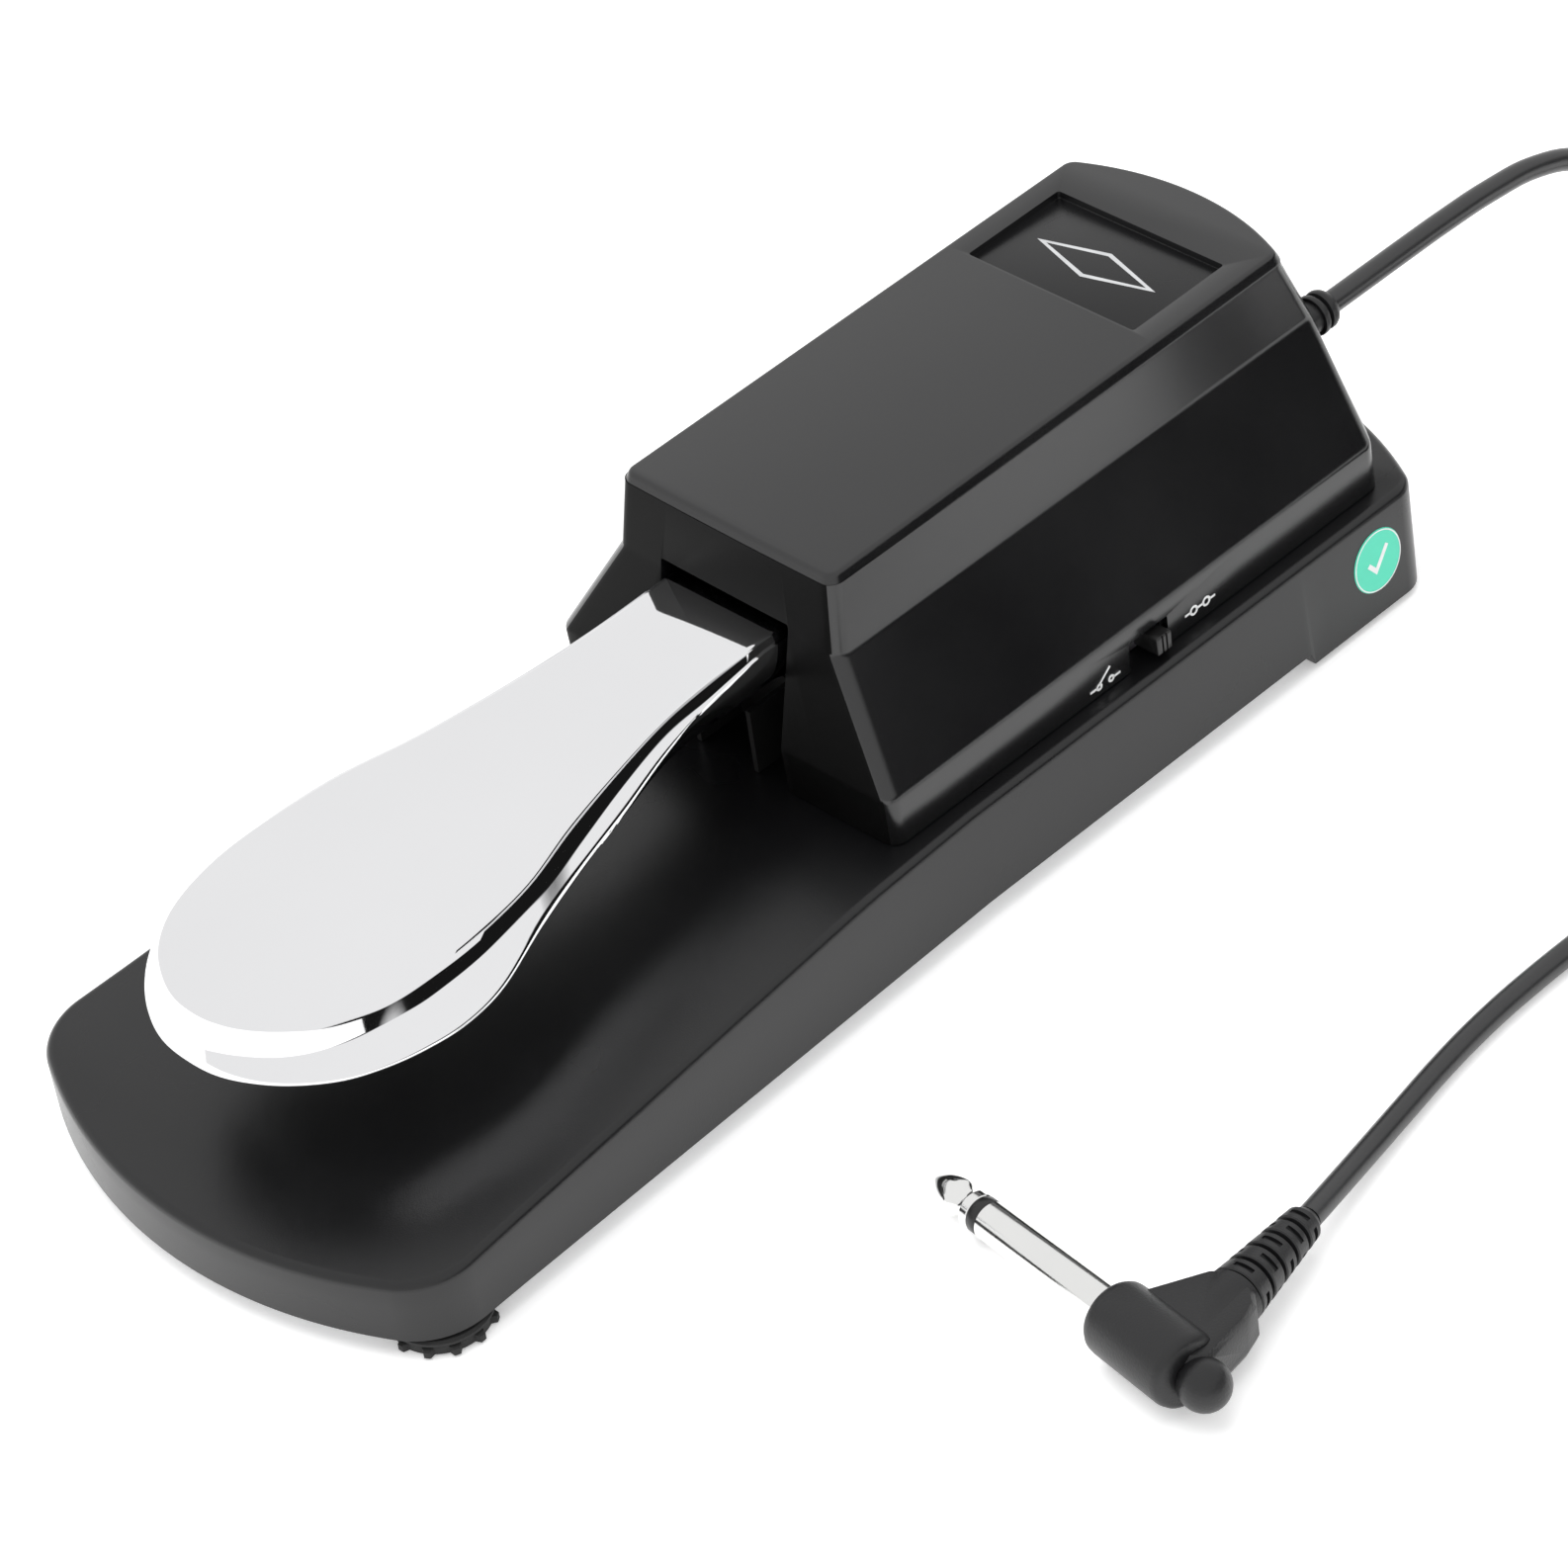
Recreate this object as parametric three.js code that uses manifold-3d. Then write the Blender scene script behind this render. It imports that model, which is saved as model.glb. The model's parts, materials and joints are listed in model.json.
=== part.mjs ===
// Sustain pedal with a sprung lever, a polarity switch and a cord with a right-angle plug.
// Millimetres. +X is the player's right, +Y the cable end, +Z up. The origin is on the floor
// below the middle of the pedal.
import * as THREE from "three";
import Module from "manifold-3d";
import { mergeVertices } from "three/addons/utils/BufferGeometryUtils.js";

const wasm = await Module();
wasm.setup();

// ---------------------------------------------------------------- driving dimensions

const GAP = 0.3; // clearance between parts that touch in life
const RUNNING = 0.05; // radial clearance of the hinge

const BASE = {
  front: -125.5,
  rear: 125.5,
  frontRadius: 85.7,
  rearRadius: 76,
  halfFront: 46.3,
  halfRear: 42.5,
  halfRearTop: 41.1, // the side walls lean in towards the rear
  frontCorner: 12.5,
  rearCorner: 6,
  flareStart: 8.3,
  flareEnd: -106.9,
};
const DECK_Z = 21; // height of the level part of the deck
const DECK_CREASE = -16.7; // the deck slopes down in front of this line
const DECK_SLOPE = 0.0616; // drop per millimetre forwards
const DECK_EDGE = 1.5; // rounding of the deck's edge
const BASE_WALL = 2.5;
const RIM_Z = 3.3; // bottom rim of the base
const REAR_RIM = { z: 0.9, y: 85 }; // the rim reaches lower behind this line

const PLATE = { z: 3.3, thickness: 1.2, inset: 3 };
const FRONT_FEET = { x: 38.2, y: -106.3, radius: 8.8 };
const REAR_FEET = { x: 30.6, y: 91, radius: 9 };
const FOOT_HEIGHT = 3;
const FOOT_TEETH = 12;

const WALL = 2; // housing wall
const HOUSING_SLOPE = 0.0103; // the top rises towards the rear
const HOUSING_TOP = 63.64; // height of the top above the origin
const HOUSING_BOTTOM = DECK_Z + GAP;
const MOUTH = { half: 14.2, top: 51.8 };
const RECESS = { half: 18.2, front: 75.4, rear: 97, depth: 0.8 };
const NOTCH = { front: 48.8, rear: 57.9, top: 26.9 };
const OUTLET = { x: 20.1, y: 114, z: 45, hole: 3.2, boss: 4.7 };

const HINGE = { y: 35, z: 44, radius: 2 };
const ARM_HALF = 13.6; // outer half width of the lever's arm
const ARM_BOTTOM = 39.5;
const ARM_REAR = 48;
const LEVER_WALL = 2;
const CHEEK = { inner: 14.9, thickness: 2.5 };

const SPRING = { y: 20, radius: 5.5, wire: 0.6, bottom: 23.9, top: 46.8, turns: 7 };
const BOARD = { half: 22, front: 43, rear: 84, z: 27, thickness: 1.6 };
const PLUNGER = { y: 47, radius: 1.5, bottom: 35.3, top: 39.2 };
const SLIDER = { front: 53.2, rear: 56.6, bottom: 22.4, top: 25.8, outer: 39.4 };

const STICKER = { y: 103, z: 11.5, radius: 5.75 };

const CORD_RADIUS = 2;
const COIL = { x: 90, y: 172, radius: 24, width: 20.2, height: 8.3 };
const PLUG_TIP = [78.5, -42, 3.3];
const PLUG_END = [142, -50.7, 8];
const BOOT_START = [132.6, -34.8, 7.2];
const BOOT_END = [129.4, -15.8, 5.6];

// ---------------------------------------------------------------- finishes

const finish = (color, roughness, metalness = 0) => ({ color, roughness, metalness });
const BLACK_PLASTIC = finish(0x2b2c2e, 0.55);
const GREY_PLASTIC = finish(0x35363a, 0.5);
const BLACK_RUBBER = finish(0x17181a, 0.85);
const CHROME = finish(0xe4e6e8, 0.12, 1);
const STEEL = finish(0xa9adb1, 0.35, 1);
const NYLON = finish(0xe9e6da, 0.45);
const BOARD_GREEN = finish(0x1f6b43, 0.5);
const BRASS = finish(0xc9a24a, 0.3, 1);

// ---------------------------------------------------------------- geometry helpers

/** Makes a manifold solid from a closed three.js geometry. */
function solid(geometry) {
  const bare = geometry.clone();
  bare.deleteAttribute("normal");
  bare.deleteAttribute("uv");
  const welded = mergeVertices(bare, 1e-4);
  const index = welded.index.array;
  const triVerts = [];
  for (let i = 0; i < index.length; i += 3) {
    const [a, b, c] = [index[i], index[i + 1], index[i + 2]];
    if (a !== b && b !== c && c !== a) {
      triVerts.push(a, b, c);
    }
  }
  const mesh = new wasm.Mesh({
    numProp: 3,
    vertProperties: new Float32Array(welded.attributes.position.array),
    triVerts: new Uint32Array(triVerts),
  });
  return new wasm.Manifold(mesh);
}

/** Turns a manifold solid back into a three.js geometry. */
function geometryOf(body) {
  const mesh = body.getMesh();
  const geometry = new THREE.BufferGeometry();
  const positions = new THREE.BufferAttribute(new Float32Array(mesh.vertProperties), 3);
  geometry.setAttribute("position", positions);
  geometry.setIndex(new THREE.BufferAttribute(new Uint32Array(mesh.triVerts), 1));
  geometry.computeVertexNormals();
  return geometry;
}

/** A box between two corners. */
function box([x0, y0, z0], [x1, y1, z1]) {
  const geometry = new THREE.BoxGeometry(x1 - x0, y1 - y0, z1 - z0);
  return geometry.translate((x0 + x1) / 2, (y0 + y1) / 2, (z0 + z1) / 2);
}

/** A solid of revolution about +Z from [radius, z] pairs. */
function turned(profile, segments = 20) {
  const points = profile.map(([r, z]) => new THREE.Vector2(r, z));
  return new THREE.LatheGeometry(points, segments).rotateX(Math.PI / 2);
}

/** A plain cylinder along +Z. */
function rod(radius, z0, z1, segments = 20) {
  return turned([[0, z0], [radius, z0], [radius, z1], [0, z1]], segments);
}

/** A round hole's cutter: its flats stand on the given radius. */
function drill(radius, z0, z1, segments = 20) {
  return rod(radius / Math.cos(Math.PI / segments), z0, z1, segments);
}

/** Turns a geometry made along +Z so that it runs along +X. */
const alongX = (geometry) => geometry.rotateY(Math.PI / 2);

/** Turns a geometry made along +Z so that it runs along +Y. */
const alongY = (geometry) => geometry.rotateX(-Math.PI / 2);

/** Extrudes a closed plan outline of [x, y] pairs upwards. */
function slab(outline, z0, z1) {
  const shape = new THREE.Shape(outline.map(([x, y]) => new THREE.Vector2(x, y)));
  const geometry = new THREE.ExtrudeGeometry(shape, { depth: z1 - z0, bevelEnabled: false });
  return geometry.translate(0, 0, z0);
}

/** A round bar along a smooth curve through the points. */
function bar(points, radius, steps, sides = 8) {
  const curve = new THREE.CatmullRomCurve3(points.map((p) => new THREE.Vector3(...p)));
  const circle = Array.from({ length: sides }, (_, i) => {
    const angle = (2 * Math.PI * i) / sides;
    return new THREE.Vector2(radius * Math.cos(angle), radius * Math.sin(angle));
  });
  return new THREE.ExtrudeGeometry(new THREE.Shape(circle), {
    steps,
    bevelEnabled: false,
    extrudePath: curve,
  });
}

/** Points on an arc about a centre, both ends included. */
function arc(cx, cy, radius, from, to, segments) {
  return Array.from({ length: segments + 1 }, (_, i) => {
    const angle = from + ((to - from) * i) / segments;
    return [cx + radius * Math.cos(angle), cy + radius * Math.sin(angle)];
  });
}

/** Right half of a plan outline, from the middle of the front to the middle of the rear. */
function halfOutline(o, sidePoints) {
  const frontCentre = o.front + o.frontRadius;
  const rearCentre = o.rear - o.rearRadius;
  const fx = o.halfFront - o.frontCorner;
  const fy = frontCentre - Math.sqrt((o.frontRadius - o.frontCorner) ** 2 - fx ** 2);
  const rx = o.halfRear - o.rearCorner;
  const ry = rearCentre + Math.sqrt((o.rearRadius - o.rearCorner) ** 2 - rx ** 2);
  const frontTurn = Math.atan2(fy - frontCentre, fx);
  const rearTurn = Math.atan2(ry - rearCentre, rx);
  const quarter = Math.PI / 2;
  return [
    ...arc(0, frontCentre, o.frontRadius, -quarter, frontTurn, 6).slice(0, -1),
    ...arc(fx, fy, o.frontCorner, frontTurn, 0, 6),
    ...sidePoints,
    ...arc(rx, ry, o.rearCorner, 0, rearTurn, 6),
    ...arc(0, rearCentre, o.rearRadius, rearTurn, quarter, 7).slice(1),
  ];
}

/** Moves a half outline inwards by a distance, along its own normals. */
function inset(half, distance) {
  const last = half.length - 1;
  return half.map(([x, y, ...rest], i) => {
    const before = i > 0 ? half[i - 1] : [-half[1][0], half[1][1]];
    const after = i < last ? half[i + 1] : [-half[last - 1][0], half[last - 1][1]];
    const tangent = new THREE.Vector2(after[0] - before[0], after[1] - before[1]).normalize();
    return [x - tangent.y * distance, y + tangent.x * distance, ...rest];
  });
}

/** Puts a half outline at a height, which may depend on y. */
function lift(half, height) {
  return half.map(([x, y]) => [x, y, typeof height === "function" ? height(y) : height]);
}

/** Closed body through stacked rings, each given by its right half and mirrored in x. */
function loft(rings) {
  const last = rings[0].length - 1;
  const count = 2 * last;
  const positions = [];
  const index = [];
  for (const half of rings) {
    const mirrored = half.slice(1, -1).reverse().map(([x, y, z]) => [-x, y, z]);
    positions.push(...[...half, ...mirrored].flat());
  }
  for (let k = 0; k < rings.length - 1; k += 1) {
    for (let i = 0; i < count; i += 1) {
      const a = k * count + i;
      const b = k * count + ((i + 1) % count);
      index.push(a, b, b + count, a, b + count, a + count);
    }
  }
  addCap(index, 0, last, true);
  addCap(index, (rings.length - 1) * count, last, false);
  const geometry = new THREE.BufferGeometry();
  geometry.setAttribute("position", new THREE.Float32BufferAttribute(positions, 3));
  geometry.setIndex(index);
  geometry.computeVertexNormals();
  return geometry;
}

/** Closes a ring with strips that join each right-hand point to its mirror image. */
function addCap(index, offset, last, facesDown) {
  const left = (i) => (i === 0 || i === last ? i : 2 * last - i);
  const push = (a, b, c) => {
    index.push(offset + a, ...(facesDown ? [offset + c, offset + b] : [offset + b, offset + c]));
  };
  for (let i = 0; i < last; i += 1) {
    if (i + 1 !== last) {
      push(i, i + 1, left(i + 1));
    }
    if (i !== 0) {
      push(i, i + 1 === last ? last : left(i + 1), left(i));
    }
  }
}

// ---------------------------------------------------------------- assembly

const pedal = new THREE.Group();
pedal.name = "sustain_pedal";

/** Adds a named sub-part to a group and returns it. */
function add(name, geometry, look, parent = pedal) {
  const mesh = new THREE.Mesh(geometry, new THREE.MeshStandardMaterial(look));
  mesh.name = name;
  parent.add(mesh);
  return mesh;
}

/** The same item at four places, mirrored in x and given for a front and a rear row. */
function fourPlaces(front, rear) {
  return [
    ["front_left", -front.x, front.y],
    ["front_right", front.x, front.y],
    ["rear_left", -rear.x, rear.y],
    ["rear_right", rear.x, rear.y],
  ];
}

// ---------------------------------------------------------------- base

const PLATE_SCREWS = fourPlaces({ x: 24, y: -88 }, { x: 24, y: 70 });
const HOUSING_SCREWS = fourPlaces({ x: 30, y: 10 }, { x: 29, y: 100 });
const BOARD_POSTS = [[-18, 56], [18, 80]];

/** Height of the deck at a distance from the origin. */
function deckHeight(y) {
  return DECK_Z - Math.max(0, DECK_CREASE - y) * DECK_SLOPE;
}

/** Right half of the base's outline, flared towards the front from a given rear half width. */
function flaredOutline(halfRear) {
  const side = [-60, DECK_CREASE, BASE.flareStart, 60].map((y) => {
    const share = (BASE.flareStart - y) / (BASE.flareStart - BASE.flareEnd);
    return [halfRear + (BASE.halfFront - halfRear) * Math.max(0, share), y];
  });
  return halfOutline({ ...BASE, halfRear }, side);
}

const rimOutline = flaredOutline(BASE.halfRear);
const deckOutline = flaredOutline(BASE.halfRearTop);
const SIDE_HEIGHT = DECK_Z - DECK_EDGE - REAR_RIM.z;
const SIDE_LEAN = (BASE.halfRear - BASE.halfRearTop) / SIDE_HEIGHT; // sideways per millimetre up

function baseShell() {
  const outer = loft([
    lift(rimOutline, REAR_RIM.z),
    lift(deckOutline, (y) => deckHeight(y) - DECK_EDGE),
    lift(inset(deckOutline, DECK_EDGE * 0.29), (y) => deckHeight(y) - DECK_EDGE * 0.29),
    lift(inset(deckOutline, DECK_EDGE), deckHeight),
  ]);
  const cavity = loft([
    lift(inset(rimOutline, BASE_WALL), -1),
    lift(inset(deckOutline, BASE_WALL), (y) => deckHeight(y) - BASE_WALL),
  ]);
  const rimCut = box([-60, -140, -1], [60, REAR_RIM.y, RIM_Z]);
  let shell = solid(outer).subtract(solid(cavity)).subtract(solid(rimCut));
  const bossFoot = PLATE.z + PLATE.thickness + GAP;
  for (const [, x, y] of PLATE_SCREWS) {
    const boss = rod(4, bossFoot, deckHeight(y) - 1, 12).translate(x, y, 0);
    const pilot = drill(1.6, bossFoot - 1, 13, 12).translate(x, y, 0);
    shell = shell.add(solid(boss)).subtract(solid(pilot));
  }
  for (const [, x, y] of HOUSING_SCREWS) {
    const hole = drill(1.8, DECK_Z - 5, DECK_Z + 1, 12).translate(x, y, 0);
    shell = shell.subtract(solid(hole));
  }
  for (const [x, y] of BOARD_POSTS) {
    const post = rod(3, DECK_Z - 1, BOARD.z - GAP, 12).translate(x, y, 0);
    const pilot = drill(1.2, DECK_Z, BOARD.z, 12).translate(x, y, 0);
    shell = shell.add(solid(post)).subtract(solid(pilot));
  }
  return geometryOf(shell);
}

function bottomPlate() {
  const outline = inset(rimOutline, PLATE.inset);
  const top = PLATE.z + PLATE.thickness;
  let plate = solid(loft([lift(outline, PLATE.z), lift(outline, top)]));
  for (const [, x, y] of PLATE_SCREWS) {
    plate = plate.subtract(solid(drill(1.6, 0, 8, 12).translate(x, y, 0)));
  }
  return geometryOf(plate);
}

/** Rubber foot with notches round its rim. */
function foot(radius) {
  const outline = [];
  for (let i = 0; i < FOOT_TEETH * 4; i += 1) {
    const angle = (2 * Math.PI * (i + 0.5)) / (FOOT_TEETH * 4);
    const r = i % 4 < 2 ? radius : radius - 0.9;
    outline.push([r * Math.cos(angle), r * Math.sin(angle)]);
  }
  return slab(outline, 0, FOOT_HEIGHT);
}

/** Pan-head screw, head down, shank upwards from the head's seat. */
function screw(head, shank, length) {
  const thick = head * 0.45;
  return turned([[0, -thick], [head * 0.8, -thick], [head, 0], [shank, 0], [shank, length], [0, length]], 12);
}

add("base_shell", baseShell(), GREY_PLASTIC);
add("bottom_plate", bottomPlate(), STEEL);
for (const [place, x, y] of fourPlaces(FRONT_FEET, REAR_FEET)) {
  const radius = y < 0 ? FRONT_FEET.radius : REAR_FEET.radius;
  add(`foot_${place}`, foot(radius), BLACK_RUBBER).position.set(x, y, 0);
}
for (const [place, x, y] of PLATE_SCREWS) {
  add(`plate_screw_${place}`, screw(3, 1.3, 9), STEEL).position.set(x, y, PLATE.z - GAP);
}
for (const [place, x, y] of HOUSING_SCREWS) {
  const seat = DECK_Z - BASE_WALL - GAP;
  add(`housing_screw_${place}`, screw(3, 1.5, 12), STEEL).position.set(x, y, seat);
}

const sticker = add("inspection_sticker", rod(STICKER.radius, 0, 0.2, 24), finish(0x3fcf9f, 0.5));
sticker.rotation.y = Math.PI / 2 - Math.atan(SIDE_LEAN);
const stickerX = BASE.halfRear - SIDE_LEAN * (STICKER.z - REAR_RIM.z) + GAP;
sticker.position.set(stickerX, STICKER.y, STICKER.z);

// ---------------------------------------------------------------- upper housing

/** One level of the housing: half width, front, middle of the rear arc and its radius. */
const LEVELS = [
  { z: HOUSING_BOTTOM, half: 37.3, front: -5.6, rear: 121.8, rearRadius: 60 },
  { z: 30.2, half: 37.4, front: -6, rear: 121.3, rearRadius: 60 },
  { z: 50.05, half: 24.8, front: -1.1, rear: 115.6, rearRadius: 56 },
  { z: 62.2, half: 23.75, front: 0.75, rear: 110.6, rearRadius: 54 },
];
const TOP_EDGE = 1.4; // rounding between the housing's sides and its top
const topHeight = (y) => HOUSING_TOP + HOUSING_SLOPE * y;

/** Right half of the housing's outline at one level. */
function housingOutline({ half, front, rear, rearRadius }) {
  const outline = { front, rear, rearRadius, frontRadius: 1500, frontCorner: 2.45 };
  return halfOutline({ ...outline, rearCorner: 3, halfFront: half, halfRear: half }, []);
}

function housingSkin() {
  const outlines = LEVELS.map(housingOutline);
  const upper = outlines[3];
  const outer = loft([
    ...outlines.map((outline, i) => lift(outline, LEVELS[i].z)),
    lift(inset(upper, TOP_EDGE * 0.25), (y) => topHeight(y) - TOP_EDGE * 0.3),
    lift(inset(upper, TOP_EDGE), topHeight),
  ]);
  const inner = loft([
    lift(inset(outlines[0], WALL), HOUSING_BOTTOM - 1),
    lift(inset(outlines[1], WALL), LEVELS[1].z - 0.5),
    lift(inset(outlines[2], WALL), LEVELS[2].z - 0.5),
    lift(inset(upper, WALL), (y) => topHeight(y) - WALL),
  ]);
  return { outer: solid(outer), inner: solid(inner) };
}

/** The cable outlet's boss, bored and spot-faced. */
function addOutlet(body, outer) {
  const { x, y, z, hole, boss } = OUTLET;
  const lug = alongY(rod(boss, -8, 0, 24)).translate(x, y, z);
  const face = alongY(rod(boss - 0.8, 0, 12, 24)).translate(x, y, z);
  const bore = alongY(drill(hole, -20, 20, 24)).translate(x, y, z);
  const inside = solid(alongY(rod(boss, -8, 8, 24)).translate(x, y, z)).intersect(outer);
  return body.add(solid(lug)).add(inside).subtract(solid(face)).subtract(solid(bore));
}

function upperHousing() {
  const { outer, inner } = housingSkin();
  const mouth = box([-MOUTH.half, -20, 0], [MOUTH.half, 8, MOUTH.top]);
  const recess = box([-RECESS.half, RECESS.front, 0], [RECESS.half, RECESS.rear, 10]);
  const middle = (RECESS.front + RECESS.rear) / 2;
  recess.translate(0, 0, topHeight(middle) - RECESS.depth);
  const notch = box([30, NOTCH.front, 0], [45, NOTCH.rear, NOTCH.top]);
  let body = outer.subtract(inner).subtract(solid(mouth));
  body = addOutlet(body.subtract(solid(recess)).subtract(solid(notch)), outer);
  for (const [, x, y] of HOUSING_SCREWS) {
    const boss = solid(rod(4, HOUSING_BOTTOM, 40, 12).translate(x, y, 0)).intersect(outer);
    const pilot = drill(1.8, 0, 34, 12).translate(x, y, 0);
    body = body.add(boss).subtract(solid(pilot));
  }
  return geometryOf(body);
}

add("upper_housing", upperHousing(), BLACK_PLASTIC);

const labelWidth = 2 * (RECESS.half - GAP);
const labelLength = RECESS.rear - RECESS.front - 2 * GAP;
const label = add("label_plate", new THREE.BoxGeometry(labelWidth, labelLength, 0.4), STEEL);
const labelY = (RECESS.front + RECESS.rear) / 2;
label.position.set(0, labelY, topHeight(labelY) - RECESS.depth + GAP + 0.2);

// Cable outlet: grommet through the rear wall, clamp and inner cable behind it.
const grommet = alongY(
  turned([
    [0, -9.5], [3.6, -9.5], [3.6, -8.3], [2.9, -8.3], [2.9, GAP], [3.6, GAP], [3.6, 1.3],
    [2.6, 1.4], [2.6, 2.1], [3.5, 2.3], [3.5, 3.4], [2.9, 4.3], [2.3, 4.6], [0, 4.6],
  ]),
);
add("cable_grommet", grommet, BLACK_RUBBER).position.set(OUTLET.x, OUTLET.y, OUTLET.z);

const innerCable = bar(
  [
    [OUTLET.x, OUTLET.y - 9.8, OUTLET.z],
    [OUTLET.x - 0.5, 97, OUTLET.z - 1],
    [15, 84, 38],
    [8, 74, 31.5],
    [6, 68, 31],
  ],
  CORD_RADIUS,
  16,
);
add("inner_cable", innerCable, BLACK_RUBBER);

// ---------------------------------------------------------------- lever

/** Edge of the lever's tread, from the middle of its tip to the housing: [x, y, z]. */
const TREAD_EDGE = [
  [0, -112.9, 45.6], [4.5, -112.4, 45.6], [9, -110.6, 45.6], [13.8, -107.4, 45.6],
  [17.6, -103, 45.7], [20.2, -97.9, 45.8], [22, -91.5, 45.9], [22.9, -84.5, 46],
  [22.7, -75.5, 46.2], [21.2, -63.5, 46.7], [17.5, -51, 47.6], [14.8, -38.5, 48.5],
  [12.9, -27, 49.3], [12.1, -17, 49.7], [12, -5, 50],
];
/** Foot of the steep step below the tread, point for point beside the tread's edge. */
const STEP_FOOT = [
  [0, -113.9, 40.4], [4.8, -113.4, 40.4], [9.6, -111.5, 40.4], [14.5, -108.2, 40.4],
  [18.5, -103.5, 40.5], [21.1, -98.1, 40.7], [22.8, -91.6, 41], [23.6, -84.5, 41.5],
  [23.3, -75, 42.2], [21.4, -63.5, 43.3], [18.2, -51, 44.2], [15.3, -38.5, 45.9],
  [13.4, -27, 47.3], [12.6, -17, 47.4], [12.4, -5, 48.7],
];
/** Outer edge of the flared lip. It climbs along the neck towards the tread. */
const LIP_EDGE = [
  [0, -115.3, 37.4], [6.2, -114.7, 37.4], [12, -112.4, 37.4], [17.4, -108.8, 37.4],
  [22.3, -103.6, 37.4], [25.2, -97.9, 37.4], [27.1, -91.5, 37.4], [27.9, -84, 37.5],
  [26.8, -75, 37.8], [22.8, -63, 39.5], [19.2, -51, 40.7], [16.1, -38.5, 41.8],
  [13.7, -27.5, 43.8], [13.2, -17, 47], [12.9, -5, 48.4],
];
/** Lower edge of the lever's side wall. */
const WALL_FOOT = [
  ...LIP_EDGE.slice(0, 12).map(([x, y, z]) => [x, y, z - 0.9]),
  [13.9, -27.5, 42.6], [13.6, -17, 43], [13.5, -5, 43],
];

/** Smooth half ring through an edge, closed behind by the straight arm. */
function leverRing(edge, armHalf, z) {
  const curve = new THREE.CatmullRomCurve3(edge.map((p) => new THREE.Vector3(...p)));
  const points = curve.getPoints(34).map((p) => [p.x, p.y, p.z]);
  const corner = armHalf - 2;
  return [
    ...points,
    [armHalf, 10, z],
    [armHalf, ARM_REAR - 4, z],
    [armHalf - 0.6, ARM_REAR - 1.6, z],
    [corner, ARM_REAR - 0.4, z],
    [0, ARM_REAR, z],
  ];
}

const lowered = (ring, drop) => ring.map(([x, y, z]) => [x, y, z - drop]);

function leverBody() {
  const tread = leverRing(TREAD_EDGE, ARM_HALF - 1.4, 50);
  const step = leverRing(STEP_FOOT, ARM_HALF - 1, 48.7);
  const lip = leverRing(LIP_EDGE, ARM_HALF - 0.5, 48.4);
  const foot = leverRing(WALL_FOOT, ARM_HALF, ARM_BOTTOM);
  const outer = loft([foot, lip, step, lowered(tread, 0.6), inset(tread, 0.7)]);
  const inner = loft([
    lowered(inset(foot, LEVER_WALL), 5),
    lowered(inset(lip, LEVER_WALL), 1.6),
    lowered(inset(step, LEVER_WALL), 1.6),
    lowered(inset(tread, LEVER_WALL), 2.2),
  ]);
  const bore = alongX(drill(3.3, -30, 30, 20)).translate(0, HINGE.y, HINGE.z);
  return geometryOf(solid(outer).subtract(solid(inner)).subtract(solid(bore)));
}

add("lever", leverBody(), CHROME);

/** Flanged nylon bush: runs on the pin and sits in the lever's side wall. */
function bush() {
  const bore = (HINGE.radius + RUNNING) / Math.cos(Math.PI / 20);
  const profile = [[bore, -1], [3, -1], [3, 2.3], [4.6, 2.3], [4.6, 2.8], [bore, 2.8], [bore, -1]];
  return turned(profile, 20);
}

for (const [side, turn] of [["left", -1], ["right", 1]]) {
  const piece = add(`lever_bush_${side}`, bush(), NYLON);
  piece.position.set(turn * (ARM_HALF - LEVER_WALL), HINGE.y, HINGE.z);
  piece.rotation.y = (turn * Math.PI) / 2;
}

// ---------------------------------------------------------------- pivot, stops and spring

/** Bracket with a cheek on each side of the lever and a bridge over it for the rest stop. */
function pivotBracket() {
  const outline = [
    [28, HOUSING_BOTTOM], [42, HOUSING_BOTTOM], [42, 50], [36, 56], [8, 56], [8, 49], [20, 46],
    [28, 40],
  ];
  const outside = CHEEK.inner + CHEEK.thickness;
  const cheek = alongX(slab(outline.map(([y, z]) => [-z, y]), 0, CHEEK.thickness));
  const strip = box([-outside, 28, HOUSING_BOTTOM], [outside, 42, HOUSING_BOTTOM + 2]);
  const bridge = box([-outside, 8, 52.4], [outside, 16, 56]);
  const hole = alongX(drill(HINGE.radius + RUNNING, -30, 30, 20)).translate(0, HINGE.y, HINGE.z);
  const cheeks = [CHEEK.inner, -outside].map((x) => solid(cheek.clone().translate(x, 0, 0)));
  let body = solid(strip).add(solid(bridge));
  body = cheeks.reduce((sum, side) => sum.add(side), body);
  return geometryOf(body.subtract(solid(hole)));
}

add("pivot_bracket", pivotBracket(), STEEL);
const pinProfile = [[0, -20], [3.6, -20], [3.6, -18], [HINGE.radius, -18], [HINGE.radius, 19], [0, 19]];
add("hinge_pin", alongX(turned(pinProfile, 20)), STEEL).position.set(0, HINGE.y, HINGE.z);

add("rest_stop_pad", box([-6, 9, 50 + GAP], [6, 15, 52.1]), BLACK_RUBBER);

/** Stop block on the deck, with two ribs that reach forward to the housing's mouth. */
function stopBlock() {
  let body = solid(box([-12, 4, HOUSING_BOTTOM], [12, 12, 34]));
  for (const x of [-6.5, 6.5]) {
    body = body.add(solid(box([x - 0.5, -5.2, HOUSING_BOTTOM], [x + 0.5, 5, 33.6])));
  }
  return geometryOf(body);
}

add("stop_block", stopBlock(), BLACK_PLASTIC);
add("bottom_stop_pad", box([-13.4, 4.4, 34 + GAP], [13.4, 11.6, 36.2]), BLACK_RUBBER);

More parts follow.
